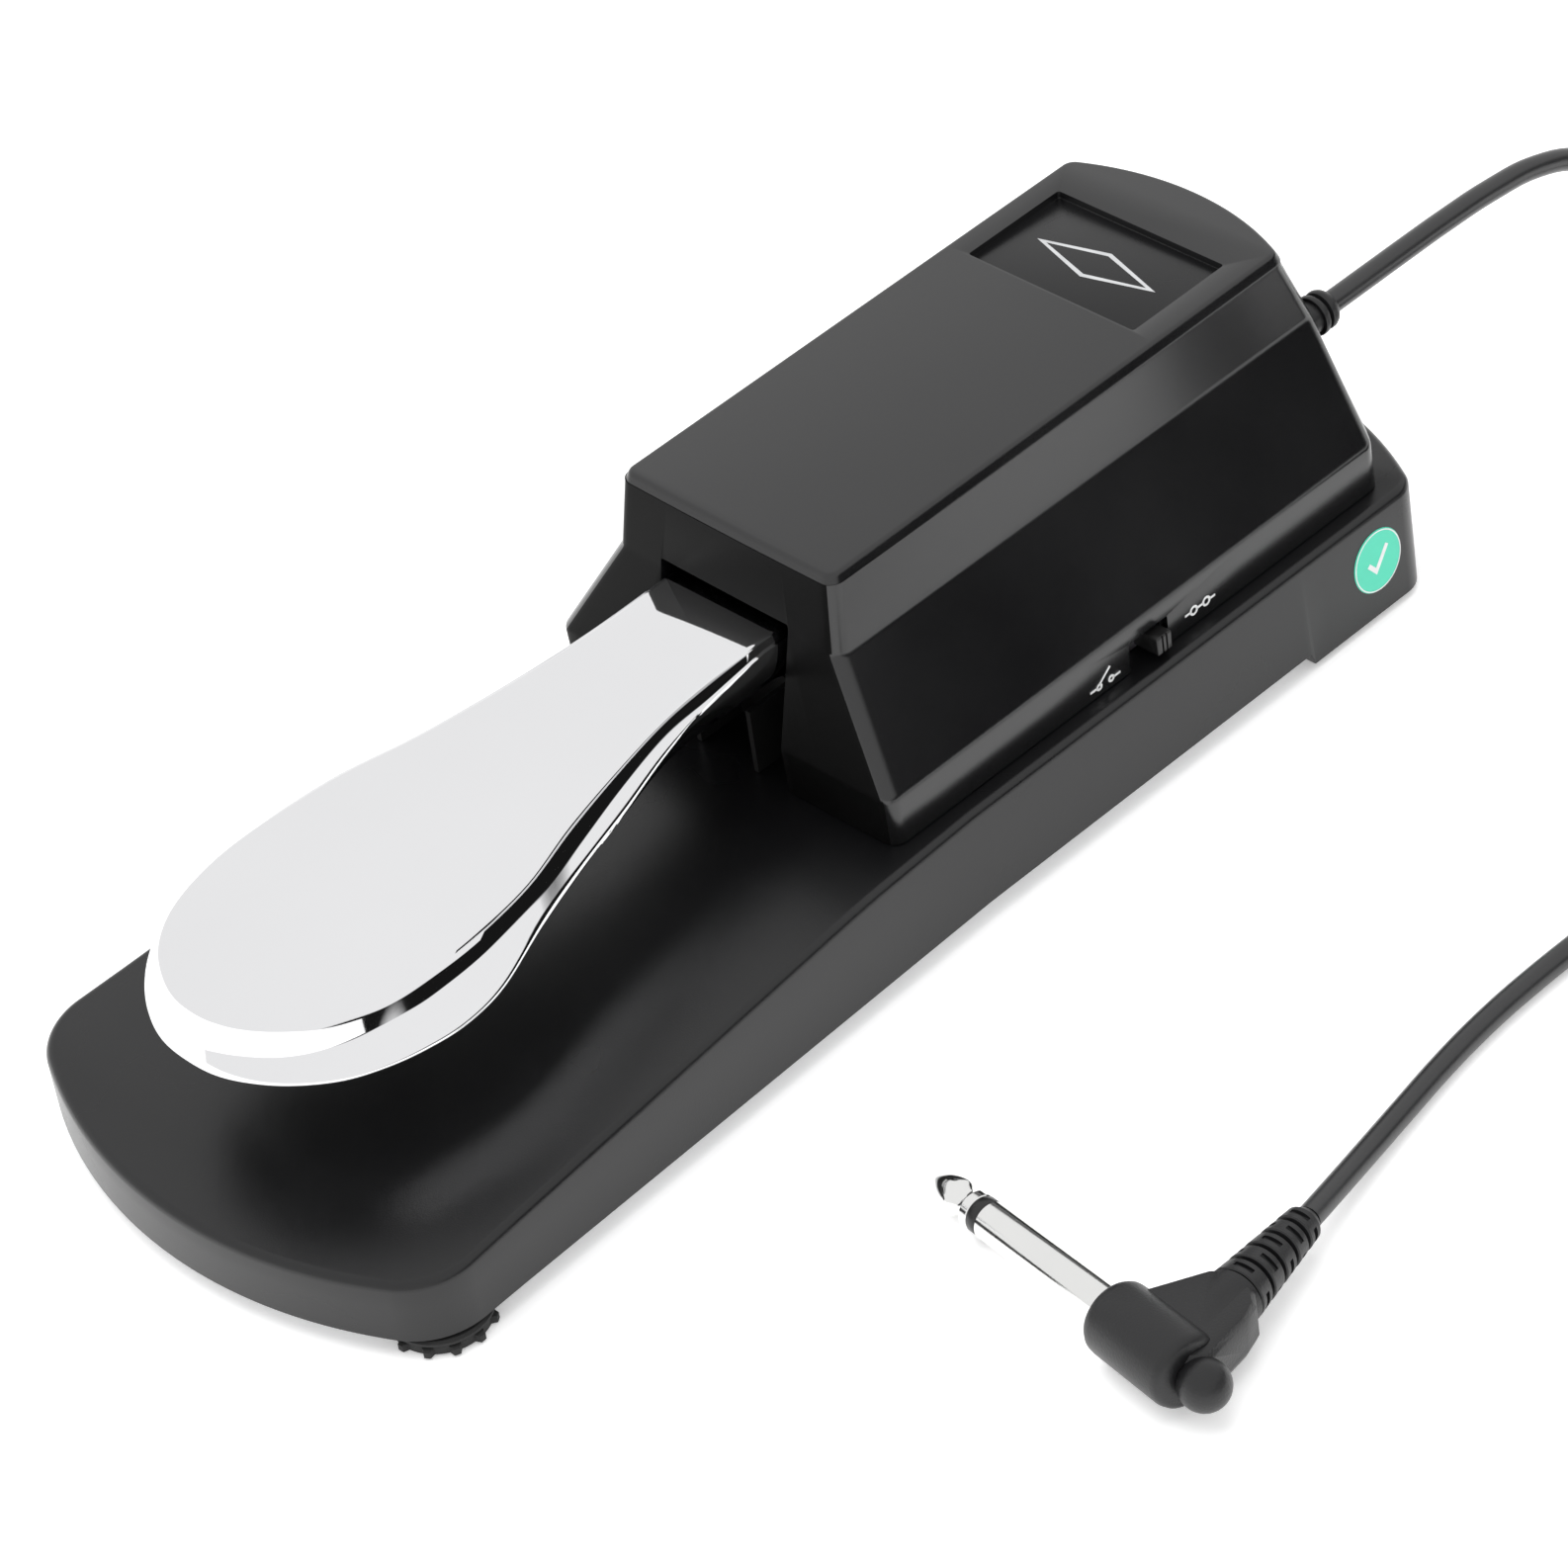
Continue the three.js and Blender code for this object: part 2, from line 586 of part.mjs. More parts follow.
const seatProfile = [[0, 0], [7.5, 0], [7.5, 1.5], [4.2, 1.5], [4.2, 5], [3.4, 6], [0, 6]];
add("spring_seat", turned(seatProfile), NYLON).position.set(0, SPRING.y, HOUSING_BOTTOM);

function returnSpring() {
  const steps = SPRING.turns * 12;
  const points = Array.from({ length: steps + 1 }, (_, i) => {
    const angle = (2 * Math.PI * i) / 12;
    const z = SPRING.bottom + ((SPRING.top - SPRING.bottom) * i) / steps;
    return [SPRING.radius * Math.cos(angle), SPRING.radius * Math.sin(angle), z];
  });
  return bar(points, SPRING.wire, steps, 6);
}

add("return_spring", returnSpring(), STEEL).position.set(0, SPRING.y, 0);

// ---------------------------------------------------------------- electrics

const boardTop = BOARD.z + BOARD.thickness;

function circuitBoard() {
  const corners = [[-BOARD.half, BOARD.front, BOARD.z], [BOARD.half, BOARD.rear, boardTop]];
  let board = solid(box(...corners));
  for (const [x, y] of BOARD_POSTS) {
    board = board.subtract(solid(drill(1.4, 20, 40, 12).translate(x, y, 0)));
  }
  return geometryOf(board);
}

add("circuit_board", circuitBoard(), BOARD_GREEN);
BOARD_POSTS.forEach(([x, y], i) => {
  const piece = add(`board_screw_${i + 1}`, screw(2.2, 0.9, 4), STEEL);
  piece.position.set(x, y, boardTop + GAP);
  piece.rotation.x = Math.PI;
});

function contactSwitch() {
  const body = solid(box([-10, 43.5, boardTop + GAP], [10, 50.5, 37.5]));
  const hole = drill(PLUNGER.radius + 0.3, PLUNGER.bottom - GAP, 40, 16);
  return geometryOf(body.subtract(solid(hole.translate(0, PLUNGER.y, 0))));
}

add("contact_switch", contactSwitch(), BLACK_PLASTIC);
const plunger = rod(PLUNGER.radius, PLUNGER.bottom, PLUNGER.top, 16);
add("switch_plunger", plunger, finish(0xb8372c, 0.4)).position.set(0, PLUNGER.y, 0);

const slideBody = box([27, NOTCH.front - 1, HOUSING_BOTTOM], [33.6, NOTCH.rear + 1, 29.2]);
add("polarity_switch_body", slideBody, STEEL);
const knob = box([33.9, SLIDER.front, SLIDER.bottom], [SLIDER.outer, SLIDER.rear, SLIDER.top]);
add("polarity_switch_knob", knob, finish(0x232426, 0.4));

/** Saddle over the inner cable, fixed to the board by its own moulded pins. */
function cableClamp() {
  const saddle = solid(box([2, 70.4, boardTop + GAP], [14, 75.6, 37.4]));
  const slot = solid(box([4.6, 69, 0], [11.8, 77, 36.4]));
  return geometryOf(saddle.subtract(slot));
}

add("cable_clamp", cableClamp(), NYLON);

// ---------------------------------------------------------------- cord

/** Loose cord from the grommet, out level, down to the floor and round into the coil. */
const GROMMET_RUN = [
  [20.1, 118.9, 45], [20.1, 134, 45], [20.1, 148, 44.9], [20.3, 160, 44.5],
  [20.8, 171, 43.2], [22, 181, 39.6], [25, 190, 33], [30.5, 198, 24], [38.5, 203.6, 14.5],
  [48, 205.6, 7], [58, 205.2, 3.2], [67, 204.4, 2.1], [72.3, 204, 2.1],
];
/** Loose cord from the coil to the plug's strain relief. */
const PLUG_RUN = [
  [122, 154.2, 4.2], [122, 144, 2.7], [121.9, 132, 2.1], [121.7, 112, 2.1], [121.2, 90, 2.1],
  [120.5, 66, 2.1], [120, 44.8, 2.1], [121.4, 24, 2.1], [125.3, 2, 3.1], [129.3, -15.4, 5.5],
];

add("cord_grommet_run", bar(GROMMET_RUN, CORD_RADIUS, 40, 10), BLACK_RUBBER);
add("cord_plug_run", bar(PLUG_RUN, CORD_RADIUS, 28, 10), BLACK_RUBBER);

/** Neat coil of the spare cord, as one ring. */
function coil() {
  const [w, h] = [COIL.width / 2, COIL.height];
  const lip = 1.6;
  const r = COIL.radius;
  return turned(
    [
      [r - w + lip, 0.05], [r + w - lip, 0.05], [r + w, lip], [r + w, h - lip],
      [r + w - lip, h], [r - w + lip, h], [r - w, h - lip], [r - w, lip], [r - w + lip, 0.05],
    ],
    40,
  );
}

add("cord_coil", coil(), BLACK_RUBBER).position.set(COIL.x, COIL.y, 0);

// ---------------------------------------------------------------- plug

/** Group whose +Z runs from one point to another. */
function aimed(name, from, to) {
  const group = new THREE.Group();
  const start = new THREE.Vector3(...from);
  const direction = new THREE.Vector3(...to).sub(start).normalize();
  group.name = name;
  group.position.copy(start);
  group.quaternion.setFromUnitVectors(new THREE.Vector3(0, 0, 1), direction);
  pedal.add(group);
  return group;
}

const plug = aimed("plug", PLUG_TIP, PLUG_END);
const SLEEVE = { radius: 3.175, start: 13.5, end: 42 };
const BARREL = { radius: 6, start: 42.3, end: 59.3 };
const BALL = { radius: 4, at: 62.4 };
// Outline of the flat web between the barrel and the strain relief.
const WEB = [
  [123, -48], [123.5, -44.5], [129.4, -35.4], [136.6, -35.4], [139, -39.5], [139.6, -48],
];

const tipProfile = [
  [0, 0], [0.7, 0.15], [1.3, 0.8], [2.3, 2.6], [2.9, 4], [3.1, 5.6], [2.9, 6.8], [2.1, 7.7],
  [2.1, 8.9], [3.05, 9.7], [3.05, 11.3], [0, 11.3],
];
add("plug_tip", turned(tipProfile, 24), BRASS, plug);
add("plug_insulator", rod(3, 11.6, 13.2, 24), NYLON, plug);
add("plug_sleeve", rod(SLEEVE.radius, SLEEVE.start, SLEEVE.end, 24), STEEL, plug);

const boot = new THREE.Vector3(...BOOT_END).sub(new THREE.Vector3(...BOOT_START));
const bootLength = boot.length();

/** Moulded plug body: barrel, rounded end, web and the root of the strain relief. */
function plugBody() {
  const { radius, start, end } = BARREL;
  const barrel = turned([
    [0, start], [radius - 0.8, start], [radius, start + 0.8], [radius, end - 1.5],
    [radius - 1.5, end], [0, end],
  ], 24);
  const ball = arc(0, BALL.at, BALL.radius, -Math.PI / 2, Math.PI / 2, 8);
  const root = turned([[0, -12], [4.4, -12], [4.6, 0], [0, 0]], 20);
  const place = new THREE.Matrix4().copy(aimedMatrix(BOOT_START, BOOT_END));
  const toPlug = new THREE.Matrix4().copy(aimedMatrix(PLUG_TIP, PLUG_END)).invert();
  const web = slab(WEB, 3.4, 10.4).applyMatrix4(toPlug);
  root.applyMatrix4(toPlug.multiply(place));
  return geometryOf(solid(barrel).add(solid(turned(ball))).add(solid(root)).add(solid(web)));
}

/** Matrix that carries +Z onto the line between two points. */
function aimedMatrix(from, to) {
  const start = new THREE.Vector3(...from);
  const direction = new THREE.Vector3(...to).sub(start).normalize();
  const turn = new THREE.Quaternion().setFromUnitVectors(new THREE.Vector3(0, 0, 1), direction);
  return new THREE.Matrix4().compose(start, turn, new THREE.Vector3(1, 1, 1));
}

add("plug_body", plugBody(), BLACK_RUBBER, plug);

/** Ribbed strain relief that tapers towards the cord. */
function strainRelief() {
  const profile = [[0, GAP]];
  const ribs = 7;
  const pitch = (bootLength - GAP) / ribs;
  for (let i = 0; i < ribs; i += 1) {
    const z = GAP + i * pitch;
    const radius = 4.35 - (1.2 * i) / ribs;
    profile.push([radius, z], [radius, z + pitch * 0.62]);
    if (i < ribs - 1) {
      profile.push([radius - 0.9, z + pitch * 0.66], [radius - 0.9, z + pitch * 0.96]);
    }
  }
  profile.push([0, profile.at(-1)[1]]);
  return turned(profile, 16);
}

add("plug_strain_relief", strainRelief(), BLACK_RUBBER, aimed("strain_relief_axis", BOOT_START, BOOT_END));

export default pedal;
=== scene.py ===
import json
import math

import bmesh
import bpy
from mathutils import Matrix, Vector

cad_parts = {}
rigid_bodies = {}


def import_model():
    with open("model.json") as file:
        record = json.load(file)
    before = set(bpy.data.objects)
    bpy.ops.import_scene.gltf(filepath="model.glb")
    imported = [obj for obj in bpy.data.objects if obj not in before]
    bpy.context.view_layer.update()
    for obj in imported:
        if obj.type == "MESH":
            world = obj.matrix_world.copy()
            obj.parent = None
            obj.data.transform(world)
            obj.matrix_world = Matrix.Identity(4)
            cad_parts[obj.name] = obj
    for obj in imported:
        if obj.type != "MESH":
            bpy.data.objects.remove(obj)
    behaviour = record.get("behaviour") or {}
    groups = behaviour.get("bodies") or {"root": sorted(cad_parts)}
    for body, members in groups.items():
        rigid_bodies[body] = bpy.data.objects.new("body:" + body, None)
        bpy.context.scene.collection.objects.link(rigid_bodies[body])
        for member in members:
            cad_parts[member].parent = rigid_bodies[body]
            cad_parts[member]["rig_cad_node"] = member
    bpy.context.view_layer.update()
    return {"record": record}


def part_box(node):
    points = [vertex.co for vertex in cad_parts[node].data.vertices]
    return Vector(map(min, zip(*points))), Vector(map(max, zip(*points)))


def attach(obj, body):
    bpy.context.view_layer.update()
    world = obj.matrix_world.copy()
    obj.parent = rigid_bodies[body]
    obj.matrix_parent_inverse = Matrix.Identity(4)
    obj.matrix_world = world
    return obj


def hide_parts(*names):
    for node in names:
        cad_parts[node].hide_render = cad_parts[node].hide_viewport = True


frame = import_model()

MM = 0.001

# ------------------------------------------------------------------ camera


def make_camera():
    azimuth, elevation, roll = (math.radians(v) for v in (50.80, 39.65, -8.90))
    back = Vector((
        math.sin(azimuth) * math.cos(elevation),
        -math.cos(azimuth) * math.cos(elevation),
        math.sin(elevation),
    ))
    right = Vector((math.cos(azimuth), math.sin(azimuth), 0))
    up = back.cross(right)
    across = math.cos(roll) * right + math.sin(roll) * up
    upward = -math.sin(roll) * right + math.cos(roll) * up
    data = bpy.data.cameras.new("camera")
    data.sensor_width = 36
    data.lens = 130.06
    data.clip_start = 0.05
    camera = bpy.data.objects.new("camera", data)
    turn = Matrix((across, upward, back)).transposed().to_4x4()
    camera.matrix_world = Matrix.Translation((0.5440, -0.4385, 0.5901)) @ turn
    bpy.context.scene.collection.objects.link(camera)
    bpy.context.scene.camera = camera


make_camera()

# ------------------------------------------------------------------ helpers


def link(name, data, body, replaces=()):
    """Adds a piece that rides on a CAD body."""
    obj = bpy.data.objects.new(name, data)
    bpy.context.scene.collection.objects.link(obj)
    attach(obj, body)
    if replaces:
        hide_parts(*replaces)
    return obj


def mesh_of(points, faces):
    """A mesh from points in millimetres."""
    mesh = bpy.data.meshes.new("mesh")
    mesh.from_pydata([(x * MM, y * MM, z * MM) for x, y, z in points], [], faces)
    mesh.update()
    return mesh


def soften(mesh, angle=38):
    """Smooth shading with sharp edges wherever two faces meet at more than the angle."""
    work = bmesh.new()
    work.from_mesh(mesh)
    bmesh.ops.remove_doubles(work, verts=work.verts, dist=1e-7)
    bmesh.ops.recalc_face_normals(work, faces=work.faces)
    limit = math.radians(angle)
    for face in work.faces:
        face.smooth = True
    for edge in work.edges:
        edge.smooth = len(edge.link_faces) == 2 and edge.calc_face_angle(0) < limit
    work.to_mesh(mesh)
    work.free()
    return mesh


def arc(cx, cy, radius, start, end, segments):
    step = (end - start) / segments
    return [
        (cx + radius * math.cos(start + step * i), cy + radius * math.sin(start + step * i))
        for i in range(segments + 1)
    ]


def half_outline(o, side_points=(), corner_steps=14, arc_steps=24):
    """Right half of a plan outline, from the middle of the front to the middle of the rear."""
    front_centre = o["front"] + o["front_radius"]
    rear_centre = o["rear"] - o["rear_radius"]
    fx = o["half_front"] - o["front_corner"]
    fy = front_centre - math.sqrt((o["front_radius"] - o["front_corner"]) ** 2 - fx**2)
    rx = o["half_rear"] - o["rear_corner"]
    ry = rear_centre + math.sqrt((o["rear_radius"] - o["rear_corner"]) ** 2 - rx**2)
    front_turn = math.atan2(fy - front_centre, fx)
    rear_turn = math.atan2(ry - rear_centre, rx)
    quarter = math.pi / 2
    return (
        arc(0, front_centre, o["front_radius"], -quarter, front_turn, arc_steps)[:-1]
        + arc(fx, fy, o["front_corner"], front_turn, 0, corner_steps)
        + list(side_points)
        + arc(rx, ry, o["rear_corner"], 0, rear_turn, corner_steps)
        + arc(0, rear_centre, o["rear_radius"], rear_turn, quarter, arc_steps)[1:]
    )


def inset(half, distance):
    """Moves a half outline inwards along its own normals."""
    last = len(half) - 1
    moved = []
    for i, point in enumerate(half):
        before = half[i - 1] if i > 0 else (-half[1][0], half[1][1])
        after = half[i + 1] if i < last else (-half[last - 1][0], half[last - 1][1])
        tangent = Vector((after[0] - before[0], after[1] - before[1])).normalized()
        moved.append((point[0] - tangent.y * distance, point[1] + tangent.x * distance, *point[2:]))
    return moved


def lift(half, height):
    return [(p[0], p[1], height(p[1]) if callable(height) else height) for p in half]


def loft(rings):
    """Closed mesh through stacked rings, each the right half of a ring mirrored in x."""
    last = len(rings[0]) - 1
    count = 2 * last
    points, faces = [], []
    for half in rings:
        points += half + [(-x, y, z) for x, y, z in reversed(half[1:-1])]
    for k in range(len(rings) - 1):
        for i in range(count):
            a, b = k * count + i, k * count + (i + 1) % count
            faces.append((a, b, b + count, a + count))
    for offset, down in ((0, True), ((len(rings) - 1) * count, False)):
        for i in range(last):
            left = [j if j in (0, last) else count - j for j in (i + 1, i)]
            ring = [i, i + 1] + [j for j in left if j not in (i, i + 1)]
            ring = [offset + j for j in ring]
            faces.append(tuple(reversed(ring)) if down else tuple(ring))
    return mesh_of(points, faces)


def turned(profile, segments=48):
    """Mesh of revolution about +Z from (radius, z) pairs that start and end on the axis."""
    points, faces, rows = [], [], []
    for radius, z in profile:
        if radius == 0:
            rows.append([len(points)])
            points.append((0, 0, z))
            continue
        rows.append(list(range(len(points), len(points) + segments)))
        for i in range(segments):
            angle = 2 * math.pi * i / segments
            points.append((radius * math.cos(angle), radius * math.sin(angle), z))
    for low, high in zip(rows, rows[1:]):
        for i in range(segments):
            j = (i + 1) % segments
            ring = [low[i % len(low)], low[j % len(low)], high[j % len(high)], high[i % len(high)]]
            face = tuple(dict.fromkeys(ring))
            if len(face) > 2:
                faces.append(face)
    return mesh_of(points, faces)


def rounded_box(low, high, radius):
    """Box between two corners with rounded edges."""
    work = bmesh.new()
    bmesh.ops.create_cube(work, size=1)
    size = Vector(high) - Vector(low)
    middle = (Vector(high) + Vector(low)) / 2
    for vert in work.verts:
        vert.co = Vector((vert.co[i] * size[i] + middle[i] for i in range(3))) * MM
    bmesh.ops.bevel(
        work, geom=work.edges[:] + work.verts[:], offset=radius * MM, segments=3,
        affect="EDGES", profile=0.5,
    )
    mesh = bpy.data.meshes.new("mesh")
    work.to_mesh(mesh)
    work.free()
    return mesh


def placed(mesh, matrix):
    """Moves a mesh by a matrix in millimetres."""
    shift = matrix.copy()
    shift.translation = matrix.translation * MM
    mesh.transform(shift)
    return mesh


def aimed(start, end):
    """Matrix that carries +Z onto the line between two points."""
    turn = Vector((0, 0, 1)).rotation_difference(Vector(end) - Vector(start))
    return Matrix.Translation(start) @ turn.to_matrix().to_4x4()


def carve(obj, *tools, operation="DIFFERENCE"):
    """Applies boolean tools, given as meshes, to an object and removes the tools."""
    for tool in tools:
        cutter = bpy.data.objects.new("cutter", tool)
        bpy.context.scene.collection.objects.link(cutter)
        change = obj.modifiers.new("cut", "BOOLEAN")
        change.operation = operation
        change.solver = "EXACT"
        change.object = cutter
        bake(obj)
        bpy.data.objects.remove(cutter)


def bake(obj):
    """Replaces an object's mesh by the result of its modifiers."""
    depsgraph = bpy.context.evaluated_depsgraph_get()
    obj.data = bpy.data.meshes.new_from_object(obj.evaluated_get(depsgraph))
    obj.modifiers.clear()


def round_edges(obj, width, segments=2, angle=35):
    """Rounds an object's sharp edges and then shades it smooth."""
    change = obj.modifiers.new("edges", "BEVEL")
    change.width = width * MM
    change.segments = segments
    change.limit_method = "ANGLE"
    change.angle_limit = math.radians(angle)
    bake(obj)
    soften(obj.data)


# ------------------------------------------------------------------ materials


def new_material(name, roughness, metallic=0.0, ior=1.5, specular=0.5):
    """Material with its principled shader; returns it with its nodes and links."""
    material = bpy.data.materials.new(name)
    material.use_nodes = True
    nodes, links = material.node_tree.nodes, material.node_tree.links
    shader = nodes["Principled BSDF"]
    shader.inputs["Roughness"].default_value = roughness
    shader.inputs["Metallic"].default_value = metallic
    shader.inputs["IOR"].default_value = ior
    shader.inputs["Specular IOR Level"].default_value = specular
    return material, nodes, links, shader


def noise_node(nodes, links, scale, detail, stretch=None):
    """Noise in the object's own coordinates, with an optional stretch."""
    coords = nodes.new("ShaderNodeTexCoord")
    source = coords.outputs["Object"]
    if stretch:
        mapping = nodes.new("ShaderNodeMapping")
        mapping.inputs["Scale"].default_value = stretch
        links.new(source, mapping.inputs["Vector"])
        source = mapping.outputs["Vector"]
    texture = nodes.new("ShaderNodeTexNoise")
    texture.inputs["Scale"].default_value = scale
    texture.inputs["Detail"].default_value = detail
    links.new(source, texture.inputs["Vector"])
    return texture.outputs["Fac"]


def spread(nodes, links, value, low, high):
    """Maps the usual span of a noise value onto a range."""
    node = nodes.new("ShaderNodeMapRange")
    node.inputs["From Min"].default_value = 0.3
    node.inputs["From Max"].default_value = 0.7
    node.inputs["To Min"].default_value = low
    node.inputs["To Max"].default_value = high
    links.new(value, node.inputs["Value"])
    return node.outputs["Result"]


def mixed(nodes, links, factor, first, second):
    """Colour between two colours by a factor."""
    node = nodes.new("ShaderNodeMix")
    node.data_type = "RGBA"
    node.inputs["A"].default_value = (*first, 1)
    node.inputs["B"].default_value = (*second, 1)
    links.new(factor, node.inputs["Factor"])
    return node.outputs["Result"]


def finish(name, dark, light, roughness, grain, bump, metallic=0.0, ior=1.5, patch=25.0,
           rough_spread=0.06, stretch=None):
    """Procedural finish: colour patches, roughness variation and a fine surface grain."""
    material, nodes, links, shader = new_material(name, roughness, metallic, ior)
    patches = noise_node(nodes, links, patch, 4.0)
    shade = spread(nodes, links, patches, 0.0, 1.0)
    links.new(mixed(nodes, links, shade, dark, light), shader.inputs["Base Color"])
    fine = noise_node(nodes, links, grain, 2.0, stretch)
    rough = spread(nodes, links, patches, roughness - rough_spread, roughness + rough_spread)
    links.new(rough, shader.inputs["Roughness"])
    relief = nodes.new("ShaderNodeBump")
    relief.inputs["Strength"].default_value = bump
    relief.inputs["Distance"].default_value = 0.00006
    links.new(fine, relief.inputs["Height"])
    links.new(relief.outputs["Normal"], shader.inputs["Normal"])
    return material


HOUSING_PLASTIC = finish(
    "housing_plastic", (0.0025, 0.0025, 0.003), (0.0045, 0.0045, 0.005), 0.22, 4200, 0.22, ior=1.62,
    rough_spread=0.03,
)
# Painted shade: a darker, less reflective copy of the housing plastic, used on the housing's front face,
# which is the same plastic.
FRONT_PAINTED_SHADE = finish(
    "front_plastic_painted_shade", (0.002, 0.002, 0.002), (0.0035, 0.0035, 0.0035), 0.45, 4200, 0.3, ior=1.18,
    rough_spread=0.03,
)
LABEL_PLASTIC = finish(
    "label_plastic", (0.0022, 0.0022, 0.0025), (0.004, 0.004, 0.0045), 0.26, 4200, 0.2, ior=1.44,
    rough_spread=0.03,
)
BASE_PLASTIC = finish(
    "base_plastic", (0.003, 0.003, 0.0035), (0.005, 0.005, 0.0055), 0.28, 3800, 0.28, ior=1.49,
    rough_spread=0.03,
)
DARK_PLASTIC = finish("dark_plastic", (0.006, 0.006, 0.006), (0.010, 0.010, 0.010), 0.32, 4000, 0.3)
CHROME = finish(
    "chrome_plate", (0.78, 0.78, 0.79), (0.81, 0.81, 0.82), 0.04, 900, 0.012, metallic=1.0,
    patch=14, rough_spread=0.012,
)
NICKEL = finish(
    "nickel_plate", (0.76, 0.76, 0.75), (0.81, 0.81, 0.80), 0.09, 1500, 0.06, metallic=1.0,
    patch=60, rough_spread=0.03, stretch=(1, 8, 8),
)
ZINC = finish(
    "zinc_steel", (0.50, 0.51, 0.52), (0.66, 0.67, 0.68), 0.34, 1800, 0.3, metallic=1.0,
    patch=90, rough_spread=0.08, stretch=(1, 14, 1),
)
RUBBER = finish("foot_rubber", (0.008, 0.008, 0.008), (0.014, 0.014, 0.014), 0.68, 2600, 0.9)
BOOT_RUBBER = finish("moulded_rubber", (0.006, 0.006, 0.0065), (0.010, 0.010, 0.011), 0.42, 2400, 0.9)
JACKET = finish("cord_jacket", (0.010, 0.010, 0.0105), (0.016, 0.016, 0.017), 0.33, 1500, 0.35, ior=1.62)
NYLON = finish("natural_nylon", (0.72, 0.70, 0.62), (0.82, 0.80, 0.73), 0.4, 1800, 0.2, patch=70)
BOARD = finish("solder_mask", (0.02, 0.13, 0.06), (0.03, 0.19, 0.09), 0.3, 1600, 0.15, patch=120)
RED = finish("red_acetal", (0.46, 0.04, 0.03), (0.55, 0.06, 0.04), 0.35, 2200, 0.2)
GREEN = finish("green_film", (0.075, 0.69, 0.47), (0.085, 0.73, 0.50), 0.4, 1400, 0.1, patch=150)
WHITE = finish("white_ink", (0.80, 0.81, 0.81), (0.90, 0.91, 0.91), 0.45, 2600, 0.2, patch=400)
SILVER = finish(
    "silver_foil", (0.62, 0.63, 0.64), (0.78, 0.79, 0.80), 0.3, 3000, 0.2, metallic=0.8,
    patch=220, rough_spread=0.08,
)

# ------------------------------------------------------------------ cord

CORD = 4.0  # diameter
COIL = {"x": 90, "y": 172, "outer": 32, "inner": 16.4, "low": 2.1, "high": 6.2}
COIL_CLIMB = 0.45  # share of a turn in which the cord climbs onto its lower layer
GROMMET_RUN = [
    (20.1, 118, 45), (20.1, 125, 45), (20.1, 130, 45), (20.1, 138, 45), (20.1, 148, 44.9),
    (20.3, 160, 44.5), (20.8, 171, 43.2), (22, 181, 39.6), (25, 190, 33), (30.5, 198, 24),
    (38.5, 203.6, 14.5), (48, 205.6, 7), (58, 205.2, 3.2), (67, 204.4, 2.1), (73, 204, 2.1),
    (81, 204, 2.1),
]
PLUG_RUN = [
    (122, 163, 5.6), (122, 154, 4.2), (122, 144, 2.7), (121.9, 132, 2.1), (121.7, 112, 2.1),
    (121.2, 90, 2.1), (120.5, 66, 2.1), (120, 44.8, 2.1), (120.4, 34, 2.1), (121.4, 24, 2.1),
    (123.2, 13, 2.4), (125.3, 2, 3.1), (127.3, -7, 4.2), (129.3, -15.4, 5.5),
]


def coil_points(turns=8.25, per_turn=14):
    """Spare cord: spirals in on the floor, rises and spirals out on top of itself."""
    spiral = (turns - COIL_CLIMB) / 2
    points = []
    steps = round(turns * per_turn)
    for i in range(steps + 1):
        t = turns * i / steps
        angle = math.pi / 2 - 2 * math.pi * t
        span = COIL["outer"] - COIL["inner"]
        if t < spiral:
            radius, z = COIL["outer"] - span * t / spiral, COIL["low"]
        elif t < spiral + COIL_CLIMB:
            share = (t - spiral) / COIL_CLIMB
            rise = share * share * (3 - 2 * share)
            radius, z = COIL["inner"], COIL["low"] + (COIL["high"] - COIL["low"]) * rise
        else:
            radius, z = COIL["inner"] + span * (t - spiral - COIL_CLIMB) / spiral, COIL["high"]
        points.append((COIL["x"] + radius * math.cos(angle), COIL["y"] + radius * math.sin(angle), z))
    return points


def make_cord():
    points = GROMMET_RUN + coil_points() + PLUG_RUN
    curve = bpy.data.curves.new("cord", "CURVE")
    curve.dimensions = "3D"
    curve.bevel_depth = CORD / 2 * MM
    curve.bevel_resolution = 6
    curve.resolution_u = 5
    curve.use_fill_caps = True
    spline = curve.splines.new("BEZIER")
    spline.bezier_points.add(len(points) - 1)
    for knot, point in zip(spline.bezier_points, points):
        knot.co = Vector(point) * MM
        knot.handle_left_type = knot.handle_right_type = "AUTO"
    curve.materials.append(JACKET)
    cord = link("cord", curve, "pedal_frame",
                ("cord_grommet_run", "cord_plug_run", "cord_coil"))
    length = sum(
        (Vector(b) - Vector(a)).length for a, b in zip(points, points[1:])
    ) * MM
    return cord, round(length, 3)


cord, cord_length = make_cord()

# ------------------------------------------------------------------ base

BASE = {
    "front": -125.5, "rear": 125.5, "front_radius": 85.7, "rear_radius": 76,
    "half_front": 46.3, "front_corner": 12.5, "rear_corner": 6,
}
HALF_RIM = 42.5  # half width at the bottom rim behind the flare
HALF_DECK = 41.1  # half width at the deck behind the flare
DECK_Z = 21
DECK_CREASE = -16.7
DECK_SLOPE = 0.0616
CREASE_RADIUS = 6  # how far the deck's bend is eased either side of the crease
DECK_EDGE = 1.5
BASE_WALL = 2.5
RIM_Z = 3.3
REAR_RIM = {"z": 0.9, "y": 85}


def deck_height(y):
    ahead = DECK_CREASE - y
    if ahead <= -CREASE_RADIUS:
        return DECK_Z
    if ahead >= CREASE_RADIUS:
        return DECK_Z - ahead * DECK_SLOPE
    return DECK_Z - DECK_SLOPE * (ahead + CREASE_RADIUS) ** 2 / (4 * CREASE_RADIUS)


